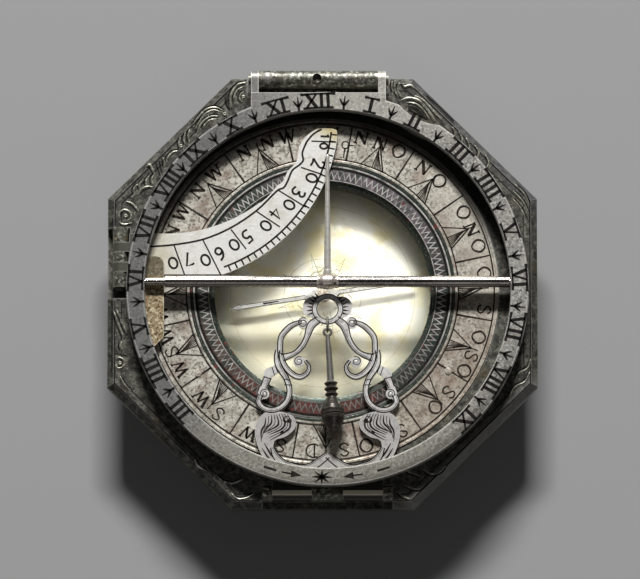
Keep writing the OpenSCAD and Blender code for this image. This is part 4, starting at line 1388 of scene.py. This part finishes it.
    swell: float = 1.3
    side_cut: float = 0.24

    def rim(self, inset: float) -> tuple[Array, ...]:
        """Runs of a line that keeps its distance from the plate's edge and stops at the three hinges.

        Args:
            inset: millimetres from the edge.

        Returns:
            The runs, as rows of x, y.
        """
        x, y = self.half[0] - inset, self.half[1] - inset
        slant = np.sqrt(2) * (self.slant - inset)
        east = [(9.6, y), (slant - y, y), (x, slant - x), (x, x - slant), (slant - y, -y), (10.2, -y)]
        north = [(-10.8, y), (y - slant, y), (-x, slant - x), (-x, 9.4)]
        south = [(-x, -1.3), (-x, x - slant), (y - slant, -y), (-8.7, -y)]
        return tuple(np.array(run) for run in (east, north, south))

    def stroke(self, ribs: Graver, cuts: Graver, width: float, points: Way) -> None:
        """Chases a rib that thins at both ends, swollen past its width, with a cut on its right.

        Args:
            ribs: where the ribs go.
            cuts: where the cut goes.
            width: the rib's width before it swells.
            points: rows of x, y along it.
        """
        way = np.asarray(points, float)
        share = np.linspace(-1, 1, len(way))
        wide = width * self.swell * (1 - 0.6 * share**2)
        ribs.carve(np.column_stack([way, wide]), self.rise, Section.RIDGE)
        line = smooth(way, 3)
        share = np.linspace(-1, 1, len(line))
        cuts.cut(line - left_of(line) * (width * 0.8), self.side_cut * (1.15 - share**2))

    def build(self) -> None:
        """Builds the plate's ornament and dresses it."""
        ribs, cuts, lines = Graver(self.face), Graver(self.face, 0.02), Graver(self.face, 0.02)
        for width, points in self.ribs:
            self.stroke(ribs, cuts, width, points)
        for width, points in self.cuts:
            cuts.cut(smooth(points, 3), width)
        for x, y, radius in self.beads:
            ribs.bead(oval(x, y, radius / 2, radius / 2, 8), radius, self.rise * 1.4)
        for inset, width in ((1.02, 0.2), (1.95, 0.14)):
            for run in self.rim(inset):
                lines.cut(run, width)
        piece("base_plate_chasing", ribs.made(), CHASED_BRASS, "base", soft=True)
        piece("base_plate_cuts", cuts.made(), PLATE_FILL, "base")
        piece("base_plate_lines", lines.made(), PLATE_FILL, "base")
        dress("base_plate", PLATE_BRASS)


@dataclass
class Hinges:
    """The three hinges' knuckles, pins and lugs, the bar with its boss and pin, and the clip."""

    finishes: tuple[tuple[MetalFinish, tuple[str, ...]], ...] = (
        (HINGE_BRASS, ("ring_hinge_barrel", "ring_hinge_pin", "arc_hinge_lugs", "arc_hinge_pin",
                       "bracket_hinge_lugs", "bracket_hinge_pin")),
        (ROD_SILVER, ("gnomon_bar",)),
        (RIVET_SILVER, ("hinge_rivet", "gnomon_pin")),
        (BOSS_GILT, ("gnomon_boss",)),
        (WORN_GILT, ("bar_clip", "clip_rivets")))

    def build(self) -> None:
        """Dresses the nodes."""
        for finish, nodes in self.finishes:
            for node in nodes:
                dress(node, finish)


@dataclass(frozen=True)
class Lamp:
    """A soft rectangular lamp that faces the dial.

    azimuth is in degrees clockwise from the dial's north side, elevation in degrees above the floor,
    distance and size (width and height) in metres, and power in watts.
    """

    name: str
    azimuth: float
    elevation: float
    distance: float
    size: tuple[float, float]
    power: float


@dataclass
class Studio:
    """Floor, lamps and camera: a wide key light low in the north, a weak fill from the south.

    view_width is how much the picture shows across the target, in millimetres, and floor_run the
    floor's radii and heights in metres: it is round, and turns up into a low wall.
    """

    lamps: tuple[Lamp, ...] = (Lamp("key_lamp", -1, 35, 1.6, (0.56, 0.16), 43.0),
                               Lamp("fill_lamp", 165, 50, 1.5, (0.6, 0.6), 0.9))
    sky: float = 0.032
    elevation: float = 78.0
    distance: float = 1.2
    target: Triple = (-0.35, 0.29, 9.7)
    view_width: float = 89.3
    floor_hex: str = "#969696"
    floor_sides: int = 96
    floor_run: tuple[tuple[float, float], ...] = (
        (0.001, 0), (0.4, 0), (0.9, 0), (1.5, 0), (1.7, 0.02), (1.82, 0.09), (1.9, 0.25), (1.92, 0.7))

    def aimed(self, name: str, data: bpy.types.ID, azimuth: float, elevation: float, distance: float,
              target: Triple = (0, 0, 0)) -> bpy.types.Object:
        """Places a lamp or camera at angles and metres from a target in millimetres, facing it.

        Args:
            name: its name.
            data: the lamp or the lens.
            azimuth: degrees clockwise from the dial's north side.
            elevation: degrees above the floor.
            distance: metres from the target.
            target: the point faced, in millimetres.

        Returns:
            The object placed.
        """
        a, e = np.radians(azimuth), np.radians(elevation)
        back = Vector((np.sin(a) * np.cos(e), np.cos(a) * np.cos(e), np.sin(e)))
        made = bpy.data.objects.new(name, data)
        made.location = Vector(target) * MM + back * distance
        made.rotation_euler = back.to_track_quat("Z", "Y").to_euler()
        bpy.context.scene.collection.objects.link(made)
        return made

    def lamp(self, lamp: Lamp) -> None:
        """Hangs one lamp.

        Args:
            lamp: what to hang.
        """
        light = bpy.data.lights.new(lamp.name, "AREA")
        light.shape, light.energy = "RECTANGLE", lamp.power
        light.size, light.size_y = lamp.size
        self.aimed(lamp.name, light, lamp.azimuth, lamp.elevation, lamp.distance)

    def floor(self) -> None:
        """Lays the floor: rings of points, a row of quads between each two, and one face in the middle."""
        n = self.floor_sides
        radius, height = np.array(self.floor_run).T
        r, a = np.meshgrid(radius, np.linspace(0, 2 * np.pi, n, endpoint=False), indexing="ij")
        z = np.broadcast_to(height[:, None], r.shape)
        points = np.stack([r * np.cos(a), r * np.sin(a), z], -1).reshape(-1, 3)
        i, j = np.meshgrid(np.arange(len(radius) - 1), np.arange(n), indexing="ij")
        one, other = i * n + j, i * n + (j + 1) % n
        faces = np.stack([one, one + n, other + n, other], -1).reshape(-1, 4).tolist() + [list(range(n))]
        mesh = bpy.data.meshes.new("floor")
        mesh.from_pydata(points.tolist(), [], faces)
        mesh.polygons.foreach_set("use_smooth", np.full(len(faces), True))
        made = bpy.data.objects.new("floor", mesh)
        paper = bpy.data.materials.new("studio_floor")
        paper.use_nodes = True
        shader = paper.node_tree.nodes["Principled BSDF"]
        shader.inputs["Base Color"].default_value = linear(self.floor_hex)
        shader.inputs["Roughness"].default_value = 0.9
        mesh.materials.append(paper)
        bpy.context.scene.collection.objects.link(made)

    def camera(self) -> None:
        """Sets the camera at the photo's angle, south of the dial and high above it."""
        lens = bpy.data.cameras.new("camera")
        lens.sensor_width = 36
        lens.lens = lens.sensor_width * self.distance / (self.view_width * MM)
        lens.clip_start, lens.clip_end = 0.01, 20
        camera = self.aimed("camera", lens, 180, self.elevation, self.distance, self.target)
        bpy.context.scene.camera = camera

    def build(self) -> None:
        """Sets floor, lamps, world and camera."""
        scene = bpy.context.scene
        scene.view_settings.view_transform = "Standard"
        self.floor()
        for lamp in self.lamps:
            self.lamp(lamp)
        world = scene.world or bpy.data.worlds.new("studio")
        scene.world = world
        world.use_nodes = True
        world.node_tree.nodes.clear()
        sky = add(world.node_tree, "Background", {"Color": linear("#ffffff"), "Strength": self.sky})
        add(world.node_tree, "OutputWorld", links={0: sky})
        self.camera()


def main() -> None:
    """Builds every sub-assembly in order."""
    logging.basicConfig(level=logging.INFO, format="%(message)s")
    for part in (Plate(), Compass(), GlassRing(), WindRose(), HourRing(), LatitudeArc(), PlumbBracket(),
                 Hinges(), Studio()):
        part.build()
        LOG.info("%s done", type(part).__name__)


if __name__ == "__main__":
    main()
